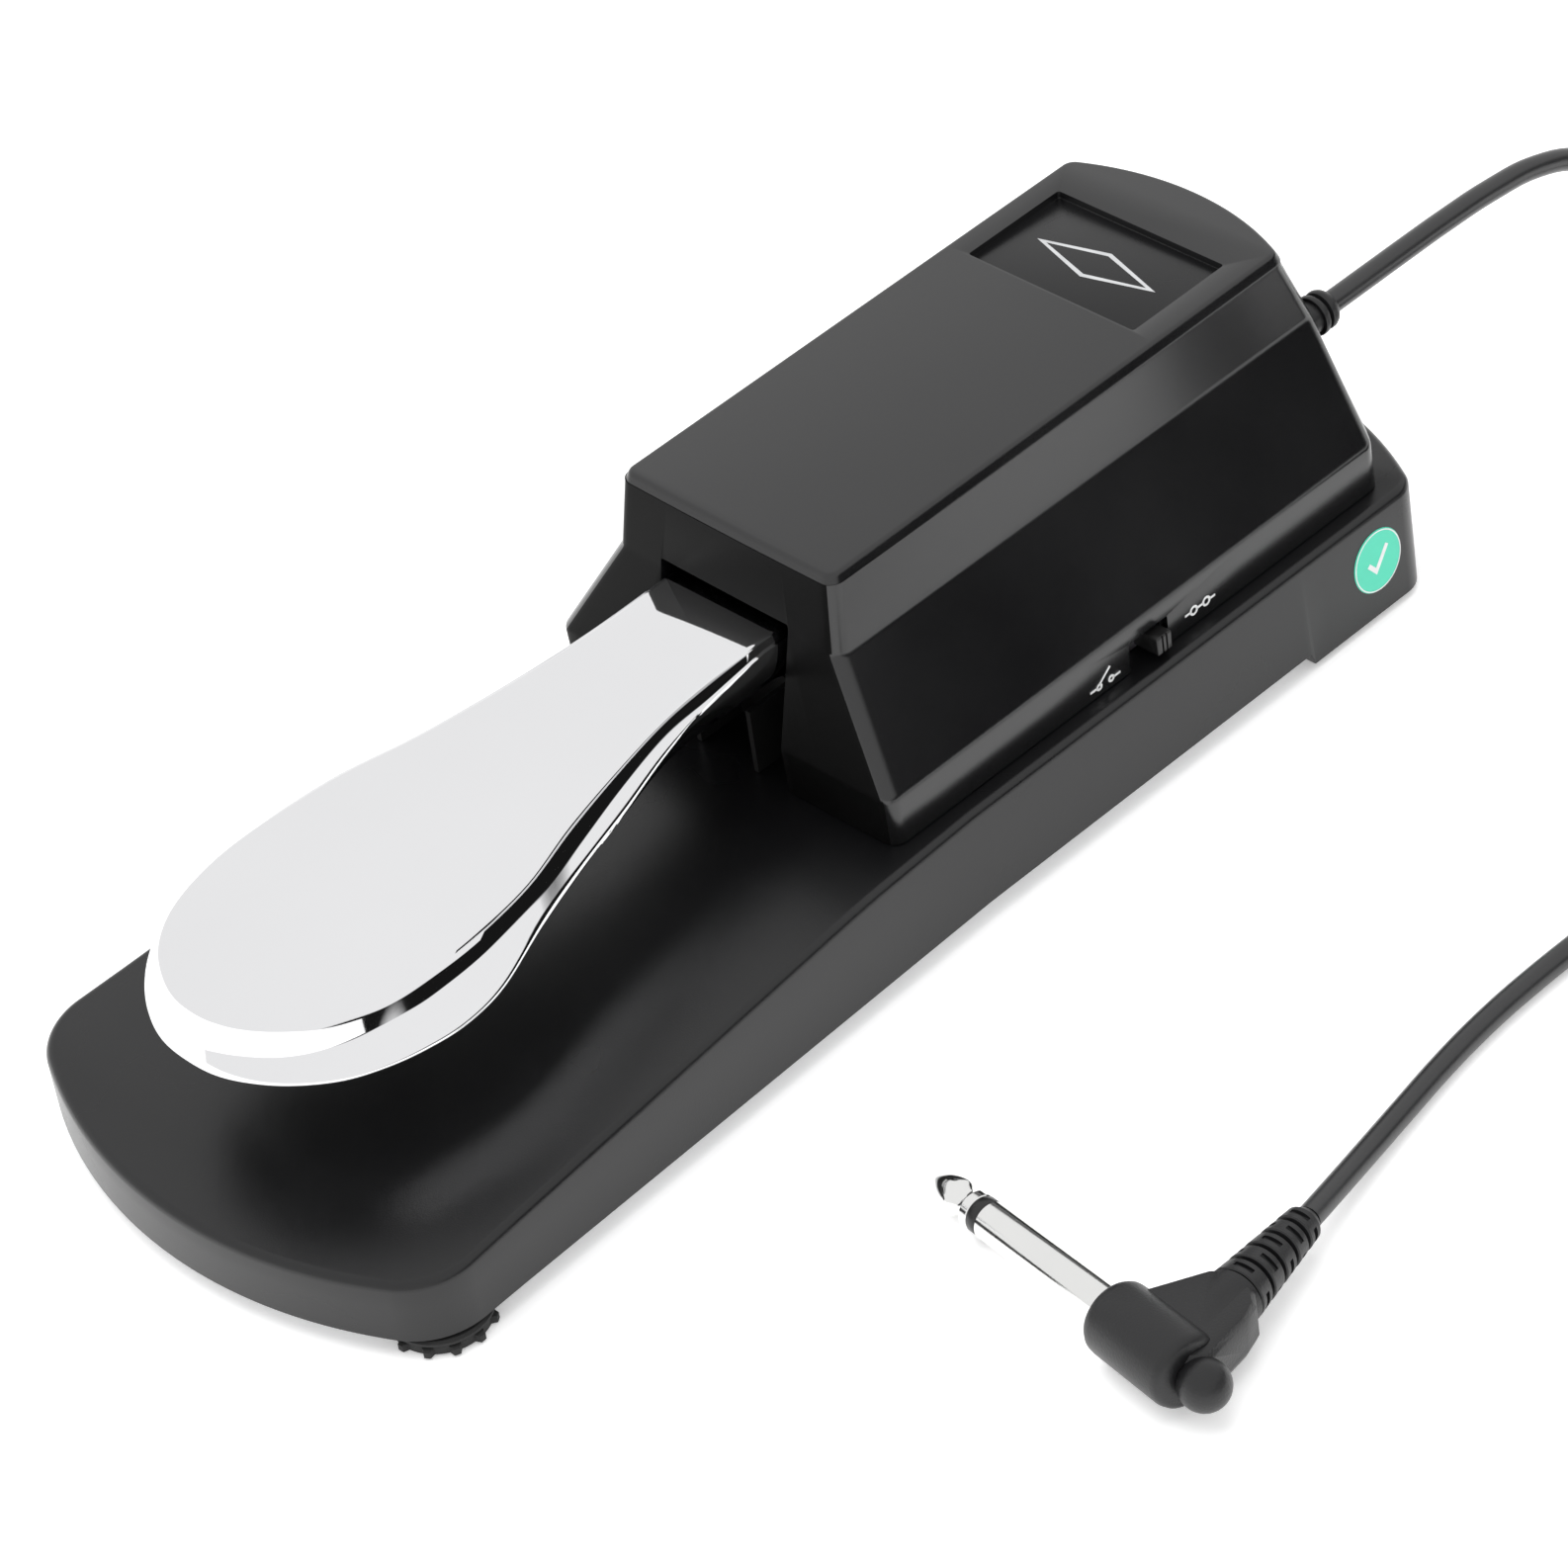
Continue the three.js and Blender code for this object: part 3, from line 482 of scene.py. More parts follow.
def rim_height(y):
    """Bottom rim: lower at the rear."""
    share = min(1, max(0, y - REAR_RIM["y"]))
    return RIM_Z + (REAR_RIM["z"] - RIM_Z) * share


def base_outline(half_rear):
    """Plan outline of the base for a half width at its rear."""
    flare_start, flare_length = 8.3, 115.2
    stations = [-95, -80, -60, -40, -28] + [DECK_CREASE + d for d in (-6, -4, -2, 0, 2, 4, 6)]
    stations += [flare_start, 40, 70, 84, 85, 85.25, 85.5, 85.75, 86, 90]
    widening = BASE["half_front"] - half_rear
    side = [(half_rear + widening * max(0, (flare_start - y) / flare_length), y) for y in stations]
    return half_outline({**BASE, "half_rear": half_rear}, side)


def blend_rings(low, high, share):
    return [tuple(a + (b - a) * share for a, b in zip(p, q)) for p, q in zip(low, high)]


def edge_rounding(outline, height, radius, steps=6):
    """Rings that round an edge between a wall and a top."""
    rings = []
    for i in range(steps + 1):
        angle = math.pi / 2 * i / steps
        drop = radius * (1 - math.sin(angle))
        inward = radius * (1 - math.cos(angle))
        rings.append(lift(inset(outline, inward), lambda y, d=drop: height(y) - d))
    return rings


def make_base():
    """Hollow base: its side walls lean in from the rim to the deck."""
    rim, deck = base_outline(HALF_RIM), base_outline(HALF_DECK)
    inner_rim, inner_deck = inset(rim, BASE_WALL), inset(deck, BASE_WALL)
    crease_line = lambda y: deck_height(y) - DECK_EDGE
    rings = [
        lift(inner_deck, lambda y: deck_height(y) - BASE_WALL),
        lift(inset(rim, BASE_WALL - 0.3), rim_height),
        lift(inset(rim, 0.3), rim_height),
        lift(rim, lambda y: rim_height(y) + 0.3),
    ]
    rings[1:1] = [blend_rings(lift(inner_deck, crease_line), lift(inner_rim, rim_height), 0.5)]
    rings += [blend_rings(rings[-1], lift(deck, crease_line), share) for share in (0.33, 0.67)]
    rings += edge_rounding(deck, deck_height, DECK_EDGE)
    mesh = soften(loft(rings), 30)
    mesh.materials.append(BASE_PLASTIC)
    return link("base", mesh, "pedal_frame", ("base_shell",))


make_base()

# ------------------------------------------------------------------ housing

LEVELS = [
    {"z": 21.25, "half": 37.3, "front": -5.6, "rear": 121.8, "rear_radius": 60},
    {"z": 30.2, "half": 37.4, "front": -6, "rear": 121.3, "rear_radius": 60},
    {"z": 50.05, "half": 24.8, "front": -1.1, "rear": 115.6, "rear_radius": 56},
    {"z": 62.2, "half": 23.75, "front": 0.75, "rear": 110.6, "rear_radius": 54},
]
HOUSING_WALL = 2.0
# Edge of the housing's top as (inwards, below the top): a narrow bevel with eased ends.
TOP_EDGE = [
    (0, 1.85), (0.04, 1.7), (0.14, 1.5), (0.62, 0.6), (0.76, 0.36), (0.95, 0.16), (1.2, 0.04),
    (1.5, 0),
]
MOUTH = {"half": 14.2, "top": 51.8}
RECESS = {"half": 18.2, "front": 75.4, "rear": 97.0, "depth": 1.45}
NOTCH = {"front": 48.8, "rear": 57.9, "top": 26.9}
OUTLET = (20.1, 114.0, 45.0)


def top_height(y):
    return 63.64 + 0.0103 * y


def housing_outline(level):
    shape = {
        "front": level["front"], "rear": level["rear"], "rear_radius": level["rear_radius"],
        "half_front": level["half"], "half_rear": level["half"], "front_radius": 1500,
        "front_corner": 2.6, "rear_corner": 3.2,
    }
    return half_outline(shape, [(level["half"], 30), (level["half"], 75)], 10, 20)


def eased_levels(rings, ease=0.6):
    """Turns each fold between levels into a small rounded bend."""
    made = [rings[0]]
    for before, here, after in zip(rings, rings[1:], rings[2:]):
        near = [blend_rings(here, other, ease / abs(other[0][2] - here[0][2])) for other in (before, after)]
        for i in range(5):
            t = i / 4
            low, high = blend_rings(near[0], here, t), blend_rings(here, near[1], t)
            made.append(blend_rings(low, high, t))
    return made + [rings[-1]]


def outlet_cylinder(radius, start, end):
    body = turned([(0, start), (radius, start), (radius, end), (0, end)], 40)
    return placed(body, Matrix.Translation(OUTLET) @ Matrix.Rotation(-math.pi / 2, 4, "X"))


def make_housing():
    outlines = [housing_outline(level) for level in LEVELS]
    levels = [lift(outline, level["z"]) for outline, level in zip(outlines, LEVELS)]
    top = [
        lift(inset(outlines[3], inward), lambda y, d=drop: top_height(y) - d)
        for inward, drop in TOP_EDGE
    ]
    inner = [lift(inset(outline, HOUSING_WALL), level["z"] - 0.5) for outline, level in zip(outlines, LEVELS)]
    ceiling = lift(inset(outlines[3], HOUSING_WALL), lambda y: top_height(y) - HOUSING_WALL)
    foot = lift(inset(outlines[0], HOUSING_WALL), LEVELS[0]["z"])
    rings = [ceiling, inner[2], inner[1], foot] + eased_levels(levels) + top
    housing = link("housing", soften(loft(rings)), "pedal_frame", ("upper_housing",))
    middle = (RECESS["front"] + RECESS["rear"]) / 2
    floor = top_height(middle) - RECESS["depth"]
    carve(
        housing,
        rounded_box((-MOUTH["half"], -20, 10), (MOUTH["half"], 8, MOUTH["top"]), 0.4),
        rounded_box((-RECESS["half"], RECESS["front"], floor), (RECESS["half"], RECESS["rear"], 80), 0.5),
        rounded_box((33, NOTCH["front"], 12), (45, NOTCH["rear"], NOTCH["top"]), 0.25),
        outlet_cylinder(3.9, 0, 12),
        outlet_cylinder(3.2, -20, 20),
    )
    soften(housing.data)
    round_edges(housing, 0.22)
    housing.data.materials.append(HOUSING_PLASTIC)
    housing.data.materials.append(FRONT_PAINTED_SHADE)
    # Faces that face the front get the darker copy of the plastic: painted shade on the housing's front face.
    for face in housing.data.polygons:
        if face.normal.y < -0.9 and face.center.y < 4 * MM and abs(face.center.x) < LEVELS[0]["half"] * MM:
            face.material_index = 1
    return housing


make_housing()

# ------------------------------------------------------------------ lever

TREAD_EDGE = [
    (0, -112.9, 45.6), (4.5, -112.4, 45.6), (9, -110.6, 45.6), (13.8, -107.4, 45.6),
    (17.6, -103, 45.7), (20.2, -97.9, 45.8), (22, -91.5, 45.9), (22.9, -84.5, 46),
    (22.7, -75.5, 46.2), (21.2, -63.5, 46.7), (17.5, -51, 47.6), (14.8, -38.5, 48.5),
    (12.9, -27, 49.3), (12.1, -17, 49.7), (12, -5, 50),
]
STEP_FOOT = [
    (0, -113.9, 40.4), (4.8, -113.4, 40.4), (9.6, -111.5, 40.4), (14.5, -108.2, 40.4),
    (18.7, -103.7, 40.7), (21.6, -98.6, 41.3), (23.9, -92.5, 42.1), (24.6, -85.3, 42.6),
    (24.5, -75.7, 43.2), (22.8, -64.3, 44.3), (19.35, -51.5, 44.9), (16.2, -38.9, 46.4),
    (14, -27.3, 47.7), (13.2, -17.3, 47.9), (12.4, -5, 48.7),
]
LIP_EDGE = [
    (0, -115.3, 37.4), (6.2, -114.7, 37.4), (12, -112.4, 37.4), (17.4, -108.8, 37.4),
    (22.4, -103.7, 37.5), (25.7, -98.3, 37.9), (28, -92.3, 38.4), (29, -84.9, 38.6),
    (28.4, -76.5, 39.6), (25, -65, 41.8), (21.3, -52.7, 43), (18.3, -40.5, 44.3),
    (15.6, -29.2, 45.9), (13.6, -17.3, 47.4), (12.9, -5, 48.4),
]
WALL_DROP = 0.9
WALL_FOOT = [(x, y, z - WALL_DROP) for x, y, z in LIP_EDGE[:12]]
WALL_FOOT += [(13.9, -27.5, 42.6), (13.6, -17, 43), (13.5, -5, 43)]
ARM_HALF = 13.6
ARM_BOTTOM = 39.5
ARM_REAR = 48
HINGE = (0, 35, 44)
BORE_RADIUS = 3.3


def smooth_path(points, steps):
    """Catmull-Rom path through points, mirrored in x beyond its first point."""
    nodes = [Vector(p) for p in points]
    first = Vector((-nodes[1].x, nodes[1].y, nodes[1].z))
    last = nodes[-1] * 2 - nodes[-2]
    nodes = [first] + nodes + [last]
    made = []
    for i in range(1, len(nodes) - 2):
        p0, p1, p2, p3 = nodes[i - 1:i + 3]
        for k in range(steps):
            t = k / steps
            made.append(0.5 * (
                2 * p1 + (p2 - p0) * t + (2 * p0 - 5 * p1 + 4 * p2 - p3) * t**2
                + (3 * p1 - p0 - 3 * p2 + p3) * t**3
            ))
    return made + [nodes[-2]]


def lever_ring(edge, arm_half, z):
    corner = arm_half - 2
    return [tuple(p) for p in smooth_path(edge, 7)] + [
        (arm_half, 10, z), (arm_half, ARM_REAR - 4, z), (arm_half - 0.6, ARM_REAR - 1.6, z),
        (corner, ARM_REAR - 0.4, z), (0, ARM_REAR, z),
    ]


def lowered(ring, drop):
    return [(x, y, z - drop) for x, y, z in ring]


def make_lever():
    """Chrome spoon: thin rim, sloping lip, steep step and flat tread, hollow below."""
    tread = lever_ring(TREAD_EDGE, ARM_HALF - 1.4, 50)
    step = lever_ring(STEP_FOOT, ARM_HALF - 1, 48.7)
    lip = lever_ring(LIP_EDGE, ARM_HALF - 0.5, 48.4)
    foot = lever_ring(WALL_FOOT, ARM_HALF, ARM_BOTTOM)
    under = [
        lowered(inset(tread, 2), 2.2), lowered(inset(step, 2), 1.6), lowered(inset(lip, 2), 0.9),
        inset(foot, 1.2),
    ]
    rim = [
        inset(foot, 0.9), lowered(inset(foot, 0.3), -0.05), lowered(foot, -0.3),
        lowered(lip, 0.25), lowered(inset(lip, 0.12), -0.02),
    ]
    slope = [blend_rings(lip, step, share) for share in (0.12, 0.3, 0.5, 0.7, 0.86, 0.94)]
    wall = [blend_rings(step, tread, share) for share in (0.04, 0.12, 0.35, 0.6, 0.8)]
    top = [
        lowered(tread, 0.6), lowered(inset(tread, 0.12), 0.3), lowered(inset(tread, 0.4), 0.08),
        inset(tread, 0.9),
    ]
    mesh = loft(under + rim + slope + wall + top)
    lever = link("lever_spoon", soften(mesh, 60), "lever", ("lever",))
    bore = turned([(0, -30), (BORE_RADIUS, -30), (BORE_RADIUS, 30), (0, 30)], 40)
    place = Matrix.Translation(HINGE) @ Matrix.Rotation(math.pi / 2, 4, "Y")
    carve(lever, placed(bore, place))
    soften(lever.data, 60)
    lever.data.materials.append(CHROME)
    return lever


make_lever()

# ------------------------------------------------------------------ small pieces on the pedal


def make_foot(name, node):
    """Rubber foot with narrow teeth and a groove round its rim."""
    low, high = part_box(node)
    cx, cy = ((low[i] + high[i]) / 2 / MM for i in (0, 1))
    radius = (high[0] - low[0]) / 2 / MM
    teeth, per_tooth = 12, 9
    rows = []
    layers = (
        (0.0, -0.6, 0.9), (0.25, 0.0, 0.9), (1.35, 0.0, 0.9), (1.55, -0.25, 0.6), (1.7, -0.9, 0),
        (2.1, -0.9, 0), (2.2, -0.4, 0), (2.7, -0.4, 0), (3.0, -0.9, 0),
    )
    for z, grow, notch in layers:
        ring = []
        for i in range(teeth * per_tooth):
            angle = 2 * math.pi * i / (teeth * per_tooth)
            reach = radius + grow - (notch if i % per_tooth > 2 else 0)
            ring.append((reach * math.cos(angle), reach * math.sin(angle), z))
        rows.append(ring)
    count = len(rows[0])
    points = [(x + cx, y + cy, z) for ring in rows for x, y, z in ring]
    faces = [
        (k * count + i, k * count + (i + 1) % count, (k + 1) * count + (i + 1) % count, (k + 1) * count + i)
        for k in range(len(rows) - 1) for i in range(count)
    ]
    faces += [tuple(reversed(range(count))), tuple(range((len(rows) - 1) * count, len(rows) * count))]
    mesh = soften(mesh_of(points, faces), 30)
    mesh.materials.append(RUBBER)
    return link(name, mesh, "pedal_frame", (node,))


for place in ("front_left", "front_right", "rear_left", "rear_right"):
    make_foot(f"rubber_foot_{place}", f"foot_{place}")


def make_grommet():
    profile = [
        (0, -9.5), (3.6, -9.5), (3.6, -8.3), (2.9, -8.3), (2.9, 0.25), (3.5, 0.3), (3.62, 0.5),
        (3.62, 1.15), (3.5, 1.35), (2.7, 1.5), (2.65, 1.8), (2.7, 2.1), (3.35, 2.3), (3.52, 2.6),
        (3.5, 3.2), (3.25, 3.8), (2.8, 4.3), (2.3, 4.55), (2.1, 4.6), (0, 4.6),
    ]
    body = placed(turned(profile, 48), Matrix.Translation(OUTLET) @ Matrix.Rotation(-math.pi / 2, 4, "X"))
    soften(body, 40)
    body.materials.append(BOOT_RUBBER)
    return link("grommet", body, "pedal_frame", ("cable_grommet",))


make_grommet()


def make_knob():
    """Slide knob with two grip grooves."""
    low, high = (Vector(v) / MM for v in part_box("polarity_switch_knob"))
    knob = link("slide_knob", rounded_box(low, high, 0.3), "polarity_knob",
                ("polarity_switch_knob",))
    for share in (0.36, 0.64):
        y = low.y + (high.y - low.y) * share
        carve(knob, rounded_box((high.x - 0.4, y - 0.2, low.z - 1), (high.x + 1, y + 0.2, high.z + 1), 0.05))
    soften(knob.data, 50)
    knob.data.materials.append(DARK_PLASTIC)
    return knob


make_knob()


def ring_path(cx, cy, radius, count=24):
    """Closed round path."""
    angles = (2 * math.pi * i / count for i in range(count + 1))
    return [(cx + radius * math.cos(a), cy + radius * math.sin(a)) for a in angles]


def band(path, width):
    """Left and right edges of a stroke along a path, mitred at its corners."""
    closed = (Vector(path[0]) - Vector(path[-1])).length < 1e-6
    nodes = [Vector(p) for p in (path[:-1] if closed else path)]
    count = len(nodes)
    left, right = [], []
    for i, node in enumerate(nodes):
        before = nodes[i - 1] if closed or i > 0 else node * 2 - nodes[i + 1]
        after = nodes[(i + 1) % count] if closed or i < count - 1 else node * 2 - nodes[i - 1]
        first, second = (node - before).normalized(), (after - node).normalized()
        along = (first + second).normalized()
        reach = width / 2 / max(0.4, along.dot(first))
        side = Vector((-along.y, along.x)) * reach
        left.append(node + side)
        right.append(node - side)
    if closed:
        left.append(left[0])
        right.append(right[0])
    return left, right


def printed(name, paths, width, place, thickness, material):
    """Thin printed mark made of strokes: place maps (u, v, height) to a point."""
    points, faces = [], []
    for path in paths:
        left, right = band(path, width)
        base = len(points)
        for a, b in zip(left, right):
            points += [place(b.x, b.y, 0), place(a.x, a.y, 0)]
            points += [place(a.x, a.y, thickness), place(b.x, b.y, thickness)]
        for i in range(len(left) - 1):
            for j in range(4):
                k = (j + 1) % 4
                faces.append((base + 4 * i + j, base + 4 * i + k, base + 4 * i + 4 + k, base + 4 * i + 4 + j))
        if (left[0] - left[-1]).length > 1e-6:
            end = base + 4 * (len(left) - 1)
            faces += [(base, base + 3, base + 2, base + 1), (end, end + 1, end + 2, end + 3)]
    mesh = soften(mesh_of(points, faces), 30)
    mesh.materials.append(material)
    return link(name, mesh, "pedal_frame")


def on_skirt(u, v, h):
    """Point on the right skirt: u runs rearwards and v upwards from the skirt's foot."""
    low, high = LEVELS[0], LEVELS[1]
    share = v / (high["z"] - low["z"])
    return (low["half"] + (high["half"] - low["half"]) * share + 0.02 + h, u, low["z"] + v)


# Generic contact marks: an open pair of contacts in front, a closed pair behind.
open_mark = [[(39.4, 1.7), (41.0, 1.7)], [(44.8, 1.7), (46.4, 1.7)], [(41.6, 2.2), (44.2, 4.3)]]
open_mark += [ring_path(41.5, 1.7, 0.5, 12), ring_path(44.3, 1.7, 0.5, 12)]
closed_mark = [[(61.9, 2.8), (63.2, 2.8)], [(64.8, 2.8), (66.2, 2.8)], [(67.8, 2.8), (69.1, 2.8)]]
closed_mark += [ring_path(64, 2.8, 0.75, 14), ring_path(67, 2.8, 0.75, 14)]
printed("open_contact_mark", open_mark, 0.42, on_skirt, 0.05, WHITE)
printed("closed_contact_mark", closed_mark, 0.42, on_skirt, 0.05, WHITE)


def make_sticker():
    """Round inspection sticker with a plain ring and a tick."""
    low, high = (Vector(v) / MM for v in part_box("inspection_sticker"))
    cy, cz = (low.y + high.y) / 2, (low.z + high.z) / 2
    radius = (high.y - low.y) / 2
    film, rim = 0.16, 0.02  # how far the sticker and its edge stand off the wall
    lean = (HALF_RIM - HALF_DECK) / (DECK_Z - DECK_EDGE - REAR_RIM["z"])

    def wall(z):
        """The side of the base, which leans in towards the deck."""
        return HALF_RIM + 0.02 - lean * (z - REAR_RIM["z"])

    points, faces = [], []
    rings = [0.5, 0.8, 0.93, 0.97, 1.0]
    segments = 48
    for share in rings:
        for i in range(segments):
            a = 2 * math.pi * i / segments
            y, z = cy + radius * share * math.cos(a), cz + radius * share * math.sin(a)
            points.append((wall(z) + (rim if share == 1 else film), y, z))
    points.append((wall(cz) + film, cy, cz))
    centre = len(points) - 1
    for i in range(segments):
        j = (i + 1) % segments
        faces.append((centre, i, j))
        for k in range(len(rings) - 1):
            a, b = k * segments, (k + 1) * segments
            faces.append((a + i, b + i, b + j, a + j))
    mesh = soften(mesh_of(points, faces), 60)
    mesh.materials.append(GREEN)
    sticker = link("sticker", mesh, "pedal_frame", ("inspection_sticker",))

    def on_sticker(u, v, h):
        return (wall(cz + v) + film + 0.02 + h, cy + u, cz + v)

    printed("sticker_ring", [ring_path(0, 0, radius * 0.955, 48)], 0.22, on_sticker, 0.03, WHITE)
    tick = [[(-2.3, 0.2), (-0.7, -1.7), (2.5, 2.1)]]
    printed("sticker_tick", tick, 0.85, on_sticker, 0.03, WHITE)
    return sticker


make_sticker()


def make_label():
    """Dark plate that fills the recess, with a plain silver lozenge outline."""
    middle = (RECESS["front"] + RECESS["rear"]) / 2
    floor = top_height(middle) - RECESS["depth"]
    half, top, gap = RECESS["half"], floor + 0.3, 0.06
    low = (-half + gap, RECESS["front"] + gap, floor + 0.02)
    high = (half - gap, RECESS["rear"] - gap, top)
    mesh = rounded_box(low, high, 0.1)
    soften(mesh, 50)
    mesh.materials.append(LABEL_PLASTIC)
    plate = link("label", mesh, "pedal_frame", ("label_plate",))

    def on_plate(u, v, h):
        return (u, middle + v, top + 0.01 + h)

    lozenge = [[(-12.0, 0), (0, 3.4), (12.0, 0), (0, -3.4), (-12.0, 0)]]
    printed("label_emblem", lozenge, 0.8, on_plate, 0.05, SILVER)
    return plate


make_label()

# ------------------------------------------------------------------ plug

PLUG_TIP = (78.5, -42, 3.3)
PLUG_END = (142, -50.7, 8)
BALL_CENTRE = (140.9, -50.9, 7.2)
BOOT_ROOT = (132.6, -34.8, 7.2)
BOOT_END = (129.4, -15.8, 5.6)
PLUG_PLACE = aimed(PLUG_TIP, PLUG_END)
BOOT_PLACE = aimed(BOOT_ROOT, BOOT_END)


def plug_piece(name, profile, material, node):
    """Turned piece on the plug's axis."""
    mesh = soften(placed(turned(profile, 48), PLUG_PLACE), 35)
    mesh.materials.append(material)
    return link(name, mesh, "pedal_frame", (node,))


TIP_PROFILE = [
    (0, 0), (0.5, 0.05), (0.95, 0.3), (1.4, 0.9), (1.85, 1.7), (2.4, 2.8), (2.83, 3.9), (3.06, 5.0),
    (3.13, 5.9), (3.05, 6.6), (2.7, 7.2), (2.25, 7.6), (2.05, 8.2), (2.05, 8.9), (2.35, 9.4),
    (2.9, 9.6), (3.08, 9.8),
    (3.08, 11.2), (2.95, 11.35), (0, 11.35),
]
SLEEVE_PROFILE = [(0, 13.5), (3.0, 13.5), (3.17, 13.7), (3.17, 43), (3.17, 44), (0, 44)]
INSULATOR_PROFILE = [(0, 11.4), (2.95, 11.42), (3.05, 11.6), (3.05, 13.25), (2.95, 13.42), (0, 13.45)]

plug_piece("jack_tip", TIP_PROFILE, NICKEL, "plug_tip")
plug_piece("jack_ring", INSULATOR_PROFILE, DARK_PLASTIC, "plug_insulator")
plug_piece("jack_sleeve", SLEEVE_PROFILE, NICKEL, "plug_sleeve")


def web_mesh():
    """Flat web that joins the barrel to the root of the strain relief."""
    plan = [
        (123.4, -48.5), (123.6, -45.0), (128.8, -35.6), (130.5, -34.2), (136.2, -34.6),
        (138.4, -36.6), (139.4, -40.0), (140.4, -49.0), (138.0, -51.5),
    ]
    cx, cy = 132, -43
    work = bmesh.new()
    for z, pull in ((3.0, 0.5), (4.2, 0), (9.9, 0), (10.9, 0.6)):
        for x, y in plan:
            shrink = 1 - pull / 8
            work.verts.new(Vector((cx + (x - cx) * shrink, cy + (y - cy) * shrink, z)) * MM)
    bmesh.ops.convex_hull(work, input=work.verts)
    mesh = bpy.data.meshes.new("mesh")
    work.to_mesh(mesh)
    work.free()
    return mesh


def make_plug_body():
    """Moulded right-angle body: barrel, ball end, web and root of the strain relief."""
    start, end = Vector((120.8, -48.2, 6.4)), Vector((138.1, -51.0, 7.6))
    length = (end - start).length
    barrel = [
        (0, 0), (4.9, 0), (5.6, 0.25), (6.0, 0.9), (6.1, 1.8), (6.1, length - 1.4),
        (5.8, length - 0.5), (5.1, length), (0, length + 0.1),
    ]
    body = link("plug_shell", placed(turned(barrel, 56), aimed(start, end)), "pedal_frame",
                ("plug_body",))
    radius = 4.1
    turns = [math.pi * (i / 16 - 0.5) for i in range(1, 16)]
    ball = [(radius * math.cos(a), radius * math.sin(a)) for a in turns]
    ball = placed(turned([(0, -radius)] + ball + [(0, radius)], 48), aimed(BALL_CENTRE, PLUG_END))
    root = [(0, -9), (1.8, -9), (3.4, -5), (4.4, -1.6), (4.65, -0.3), (4.35, 0), (0, 0)]
    root = placed(turned(root, 48), BOOT_PLACE)
    carve(body, ball, root, web_mesh(), operation="UNION")
    soften(body.data, 38)
    round_edges(body, 0.35, 3, 45)
    body.data.materials.append(BOOT_RUBBER)
    return body


make_plug_body()


def make_boot():
    """Strain relief: a tapering sleeve of rings with short slots between deep grooves."""
    length = (Vector(BOOT_END) - Vector(BOOT_ROOT)).length
    rings, first, last = 5, 4.6, 2.9
    pitch = (length - 0.2) / rings
    profile = [(0, 0.1)]
    for i in range(rings):
        z = 0.15 + i * pitch
        near, far = (first + (last - first) * share / rings for share in (i, i + 0.8))
        profile += [(near - 0.2, z), (near, z + 0.2), (far, z + pitch * 0.74), (far - 0.2, z + pitch * 0.8)]
        if i < rings - 1:
            profile += [(far - 1.0, z + pitch * 0.82), (far - 1.05, z + pitch * 0.98)]
    profile += [(2.25, length), (0, length)]
    boot = link("strain_relief", placed(turned(profile, 48), BOOT_PLACE), "pedal_frame",
                ("plug_strain_relief",))
    for i in range(rings):
        z = 0.15 + (i + 0.28) * pitch
        reach = first + (last - first) * (i + 0.4) / rings
        slots = [rounded_box((-1.6, side * reach - 0.8, z), (1.6, side * reach + 0.8, z + 0.9), 0.1)
                 for side in (-1, 1)]
        slots += [rounded_box((side * reach - 0.8, -1.6, z), (side * reach + 0.8, 1.6, z + 0.9), 0.1)
                  for side in (-1, 1)]
        turn = BOOT_PLACE @ Matrix.Rotation(math.radians(45 if i % 2 else 15), 4, "Z")
        carve(boot, *(placed(slot, turn) for slot in slots))
    soften(boot.data, 35)
    boot.data.materials.append(BOOT_RUBBER)
    return boot


make_boot()


def make_tie():
    """Loose strap round the coil's turns."""
    angle = math.radians(205)
    clearance, middle = 2.4, 24
    inner, outer = COIL["inner"] - clearance, COIL["outer"] + clearance
    path = [
        (inner, 0.05), (outer, 0.05), (outer + 0.8, 1.2), (outer + 0.8, 7.4), (outer - 0.4, 8.7),
        (inner + 0.4, 8.7), (inner - 0.8, 7.4), (inner - 0.8, 1.2),
    ]
    across = 2.2
    points = []
    for offset, grow in ((-across, 0), (across, 0), (across, 0.5), (-across, 0.5)):
        for r, z in path:
            push = grow if z > 1 else 0
            radius = r + (push if r > middle else -push)
            height = z + (push if z > 8 else 0)
            points.append((
                COIL["x"] + radius * math.cos(angle) - offset * math.sin(angle),
                COIL["y"] + radius * math.sin(angle) + offset * math.cos(angle),
                height,
            ))
    n = len(path)
    faces = [
        (k * n + i, k * n + (i + 1) % n, (k + 1) % 4 * n + (i + 1) % n, (k + 1) % 4 * n + i)
        for k in range(4) for i in range(n)
    ]
    mesh = soften(mesh_of(points, faces), 40)
    mesh.materials.append(RUBBER)
    return link("coil_tie", mesh, "pedal_frame")


make_tie()

# ------------------------------------------------------------------ CAD nodes that stay

KEPT = {
    "nylon": NYLON, "steel": ZINC, "board": BOARD, "red_plastic": RED, "black_rubber": RUBBER,
    "black_plastic": DARK_PLASTIC, "cord_jacket": JACKET, "grey_plastic": BASE_PLASTIC,
    "knob_plastic": DARK_PLASTIC, "silver_label": SILVER, "green_sticker": GREEN,
    "plug_metal": NICKEL, "chrome": CHROME,
}
for entry in frame["record"]["subparts"]:
    node = next((o for o in bpy.data.objects if o.get("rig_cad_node") == entry["node"]), None)
    if node and not node.hide_render:
        node.data.materials.clear()
        node.data.materials.append(KEPT[entry["material_slot"]])

# ------------------------------------------------------------------ floor and light


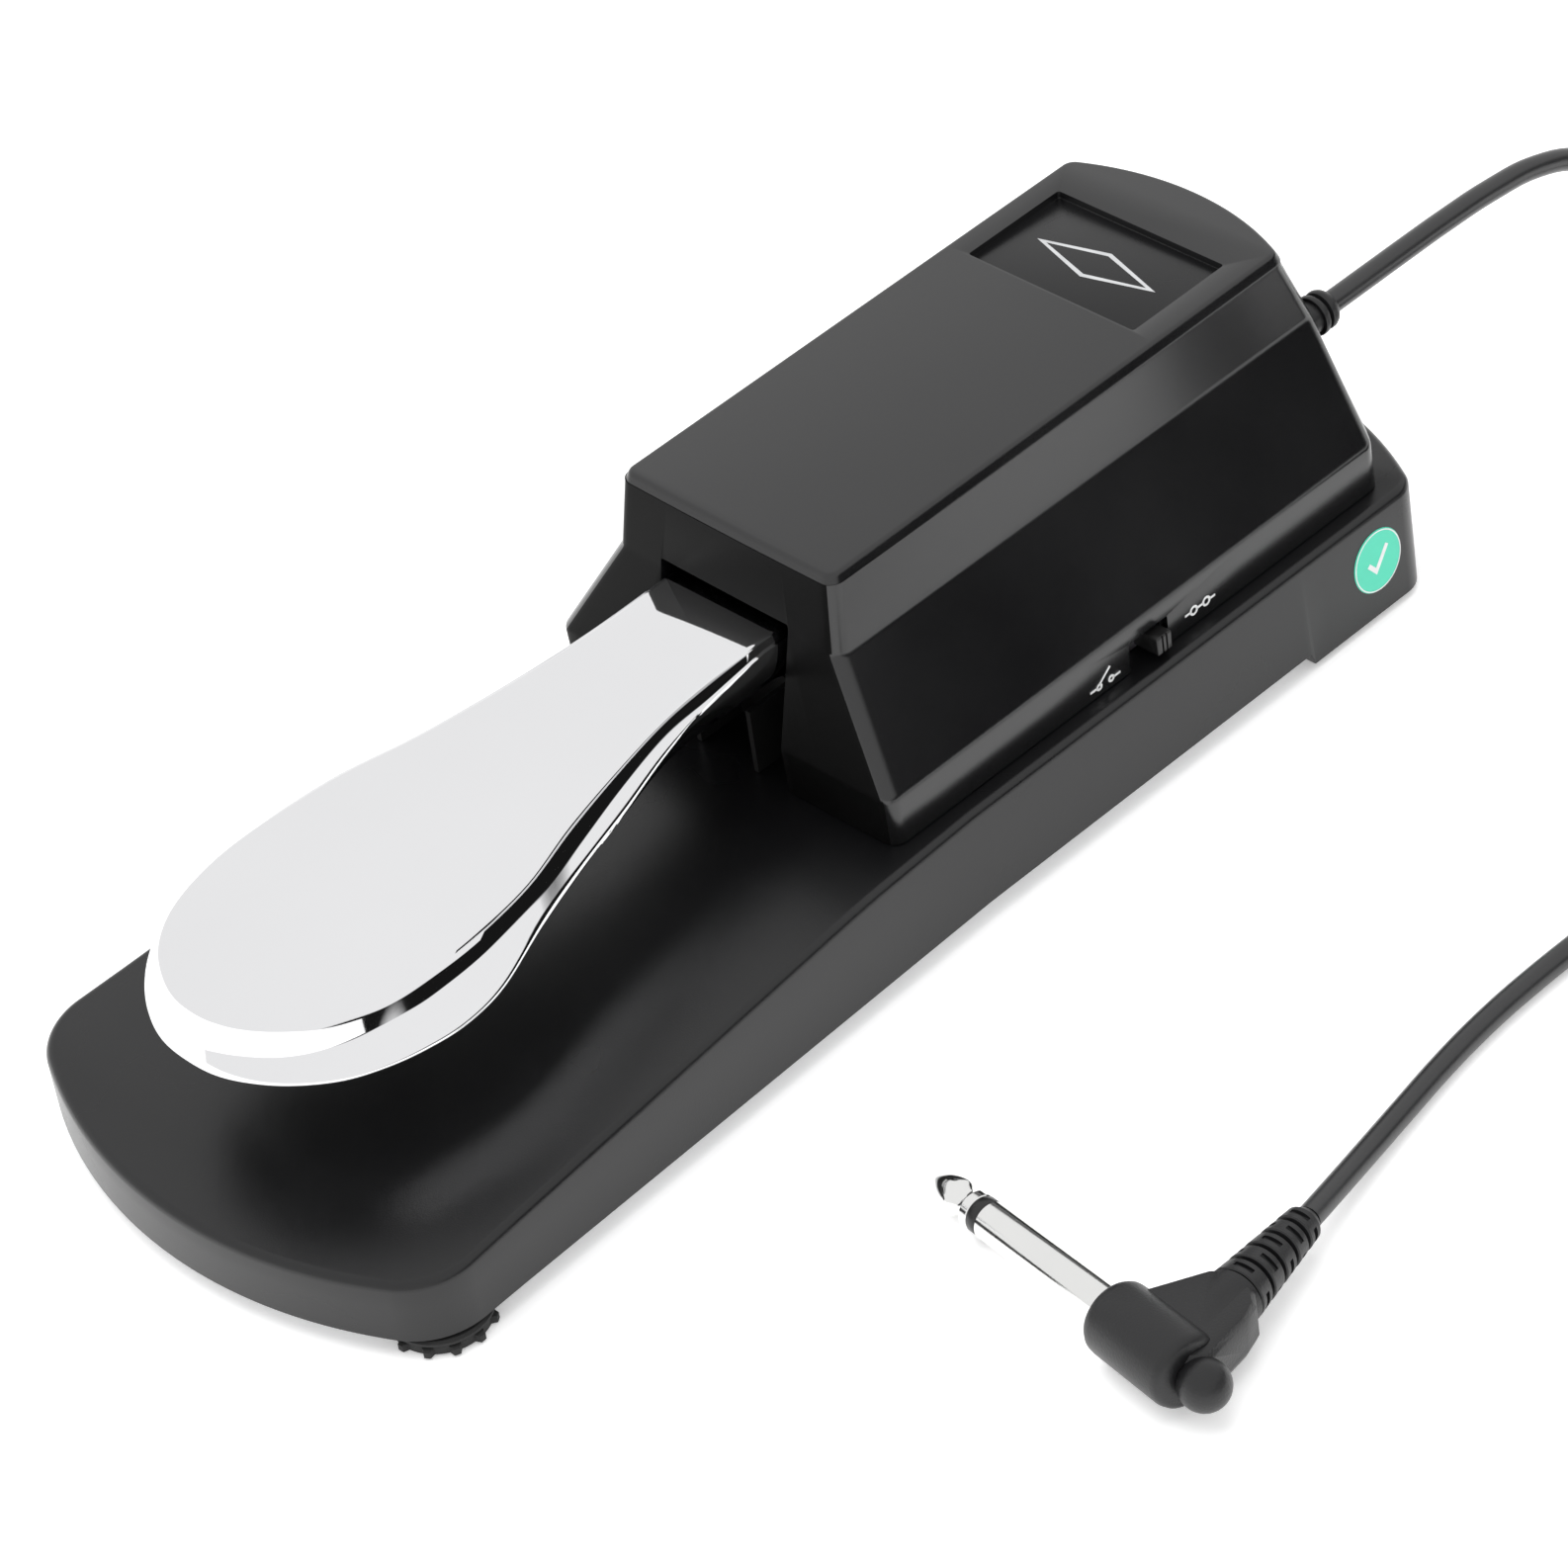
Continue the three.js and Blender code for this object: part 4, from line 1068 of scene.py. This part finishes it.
def make_floor():
    mesh = bpy.data.meshes.new("floor")
    side, z = 3.0, -0.0002
    corners = [(-side, -side, z), (side, -side, z), (side, side, z), (-side, side, z)]
    mesh.from_pydata(corners, [], [(0, 1, 2, 3)])
    floor = bpy.data.objects.new("floor", mesh)
    bpy.context.scene.collection.objects.link(floor)
    material, nodes, links, shader = new_material("floor_paper", 0.9, specular=0.2)
    tone = spread(nodes, links, noise_node(nodes, links, 3.0, 3.0), 0.0, 1.0)
    links.new(mixed(nodes, links, tone, (0.93, 0.93, 0.93), (0.95, 0.95, 0.95)), shader.inputs["Base Color"])
    shader.inputs["Emission Color"].default_value = (1, 1, 1, 1)
    shader.inputs["Emission Strength"].default_value = 0.3
    mesh.materials.append(material)


def softbox(name, location, target, size, power):
    data = bpy.data.lights.new(name, "AREA")
    data.shape = "RECTANGLE"
    data.size, data.size_y = size
    data.energy = power
    lamp = bpy.data.objects.new(name, data)
    lamp.location = location
    lamp.visible_glossy = False
    lamp.rotation_euler = (Vector(target) - Vector(location)).to_track_quat("-Z", "Y").to_euler()
    bpy.context.scene.collection.objects.link(lamp)


def make_world():
    """Light tent: pale above and in front, dark low down towards the rear and right."""
    world = bpy.data.worlds.new("studio")
    bpy.context.scene.world = world
    world.use_nodes = True
    nodes, links = world.node_tree.nodes, world.node_tree.links
    coords = nodes.new("ShaderNodeTexCoord")
    slope = nodes.new("ShaderNodeVectorMath")
    slope.operation = "DOT_PRODUCT"
    slope.inputs[1].default_value = (-0.45, -0.35, 1.0)
    raised = nodes.new("ShaderNodeMath")
    raised.operation = "ADD"
    raised.inputs[1].default_value = 0.25
    ramp = nodes.new("ShaderNodeValToRGB")
    links.new(coords.outputs["Generated"], slope.inputs[0])
    links.new(slope.outputs["Value"], raised.inputs[0])
    links.new(raised.outputs["Value"], ramp.inputs["Fac"])
    ramp.color_ramp.elements[0].position = 0.03
    ramp.color_ramp.elements[0].color = (0.01, 0.01, 0.01, 1)
    ramp.color_ramp.elements[1].position = 0.11
    ramp.color_ramp.elements[1].color = (1, 1, 1, 1)
    links.new(ramp.outputs["Color"], nodes["Background"].inputs["Color"])
    nodes["Background"].inputs["Strength"].default_value = 1.0


make_floor()
make_world()
softbox("key", (-0.3, -0.2, 1.6), (0, 0, 0), (1.6, 1.6), 16)
bpy.context.scene.view_settings.view_transform = "Standard"
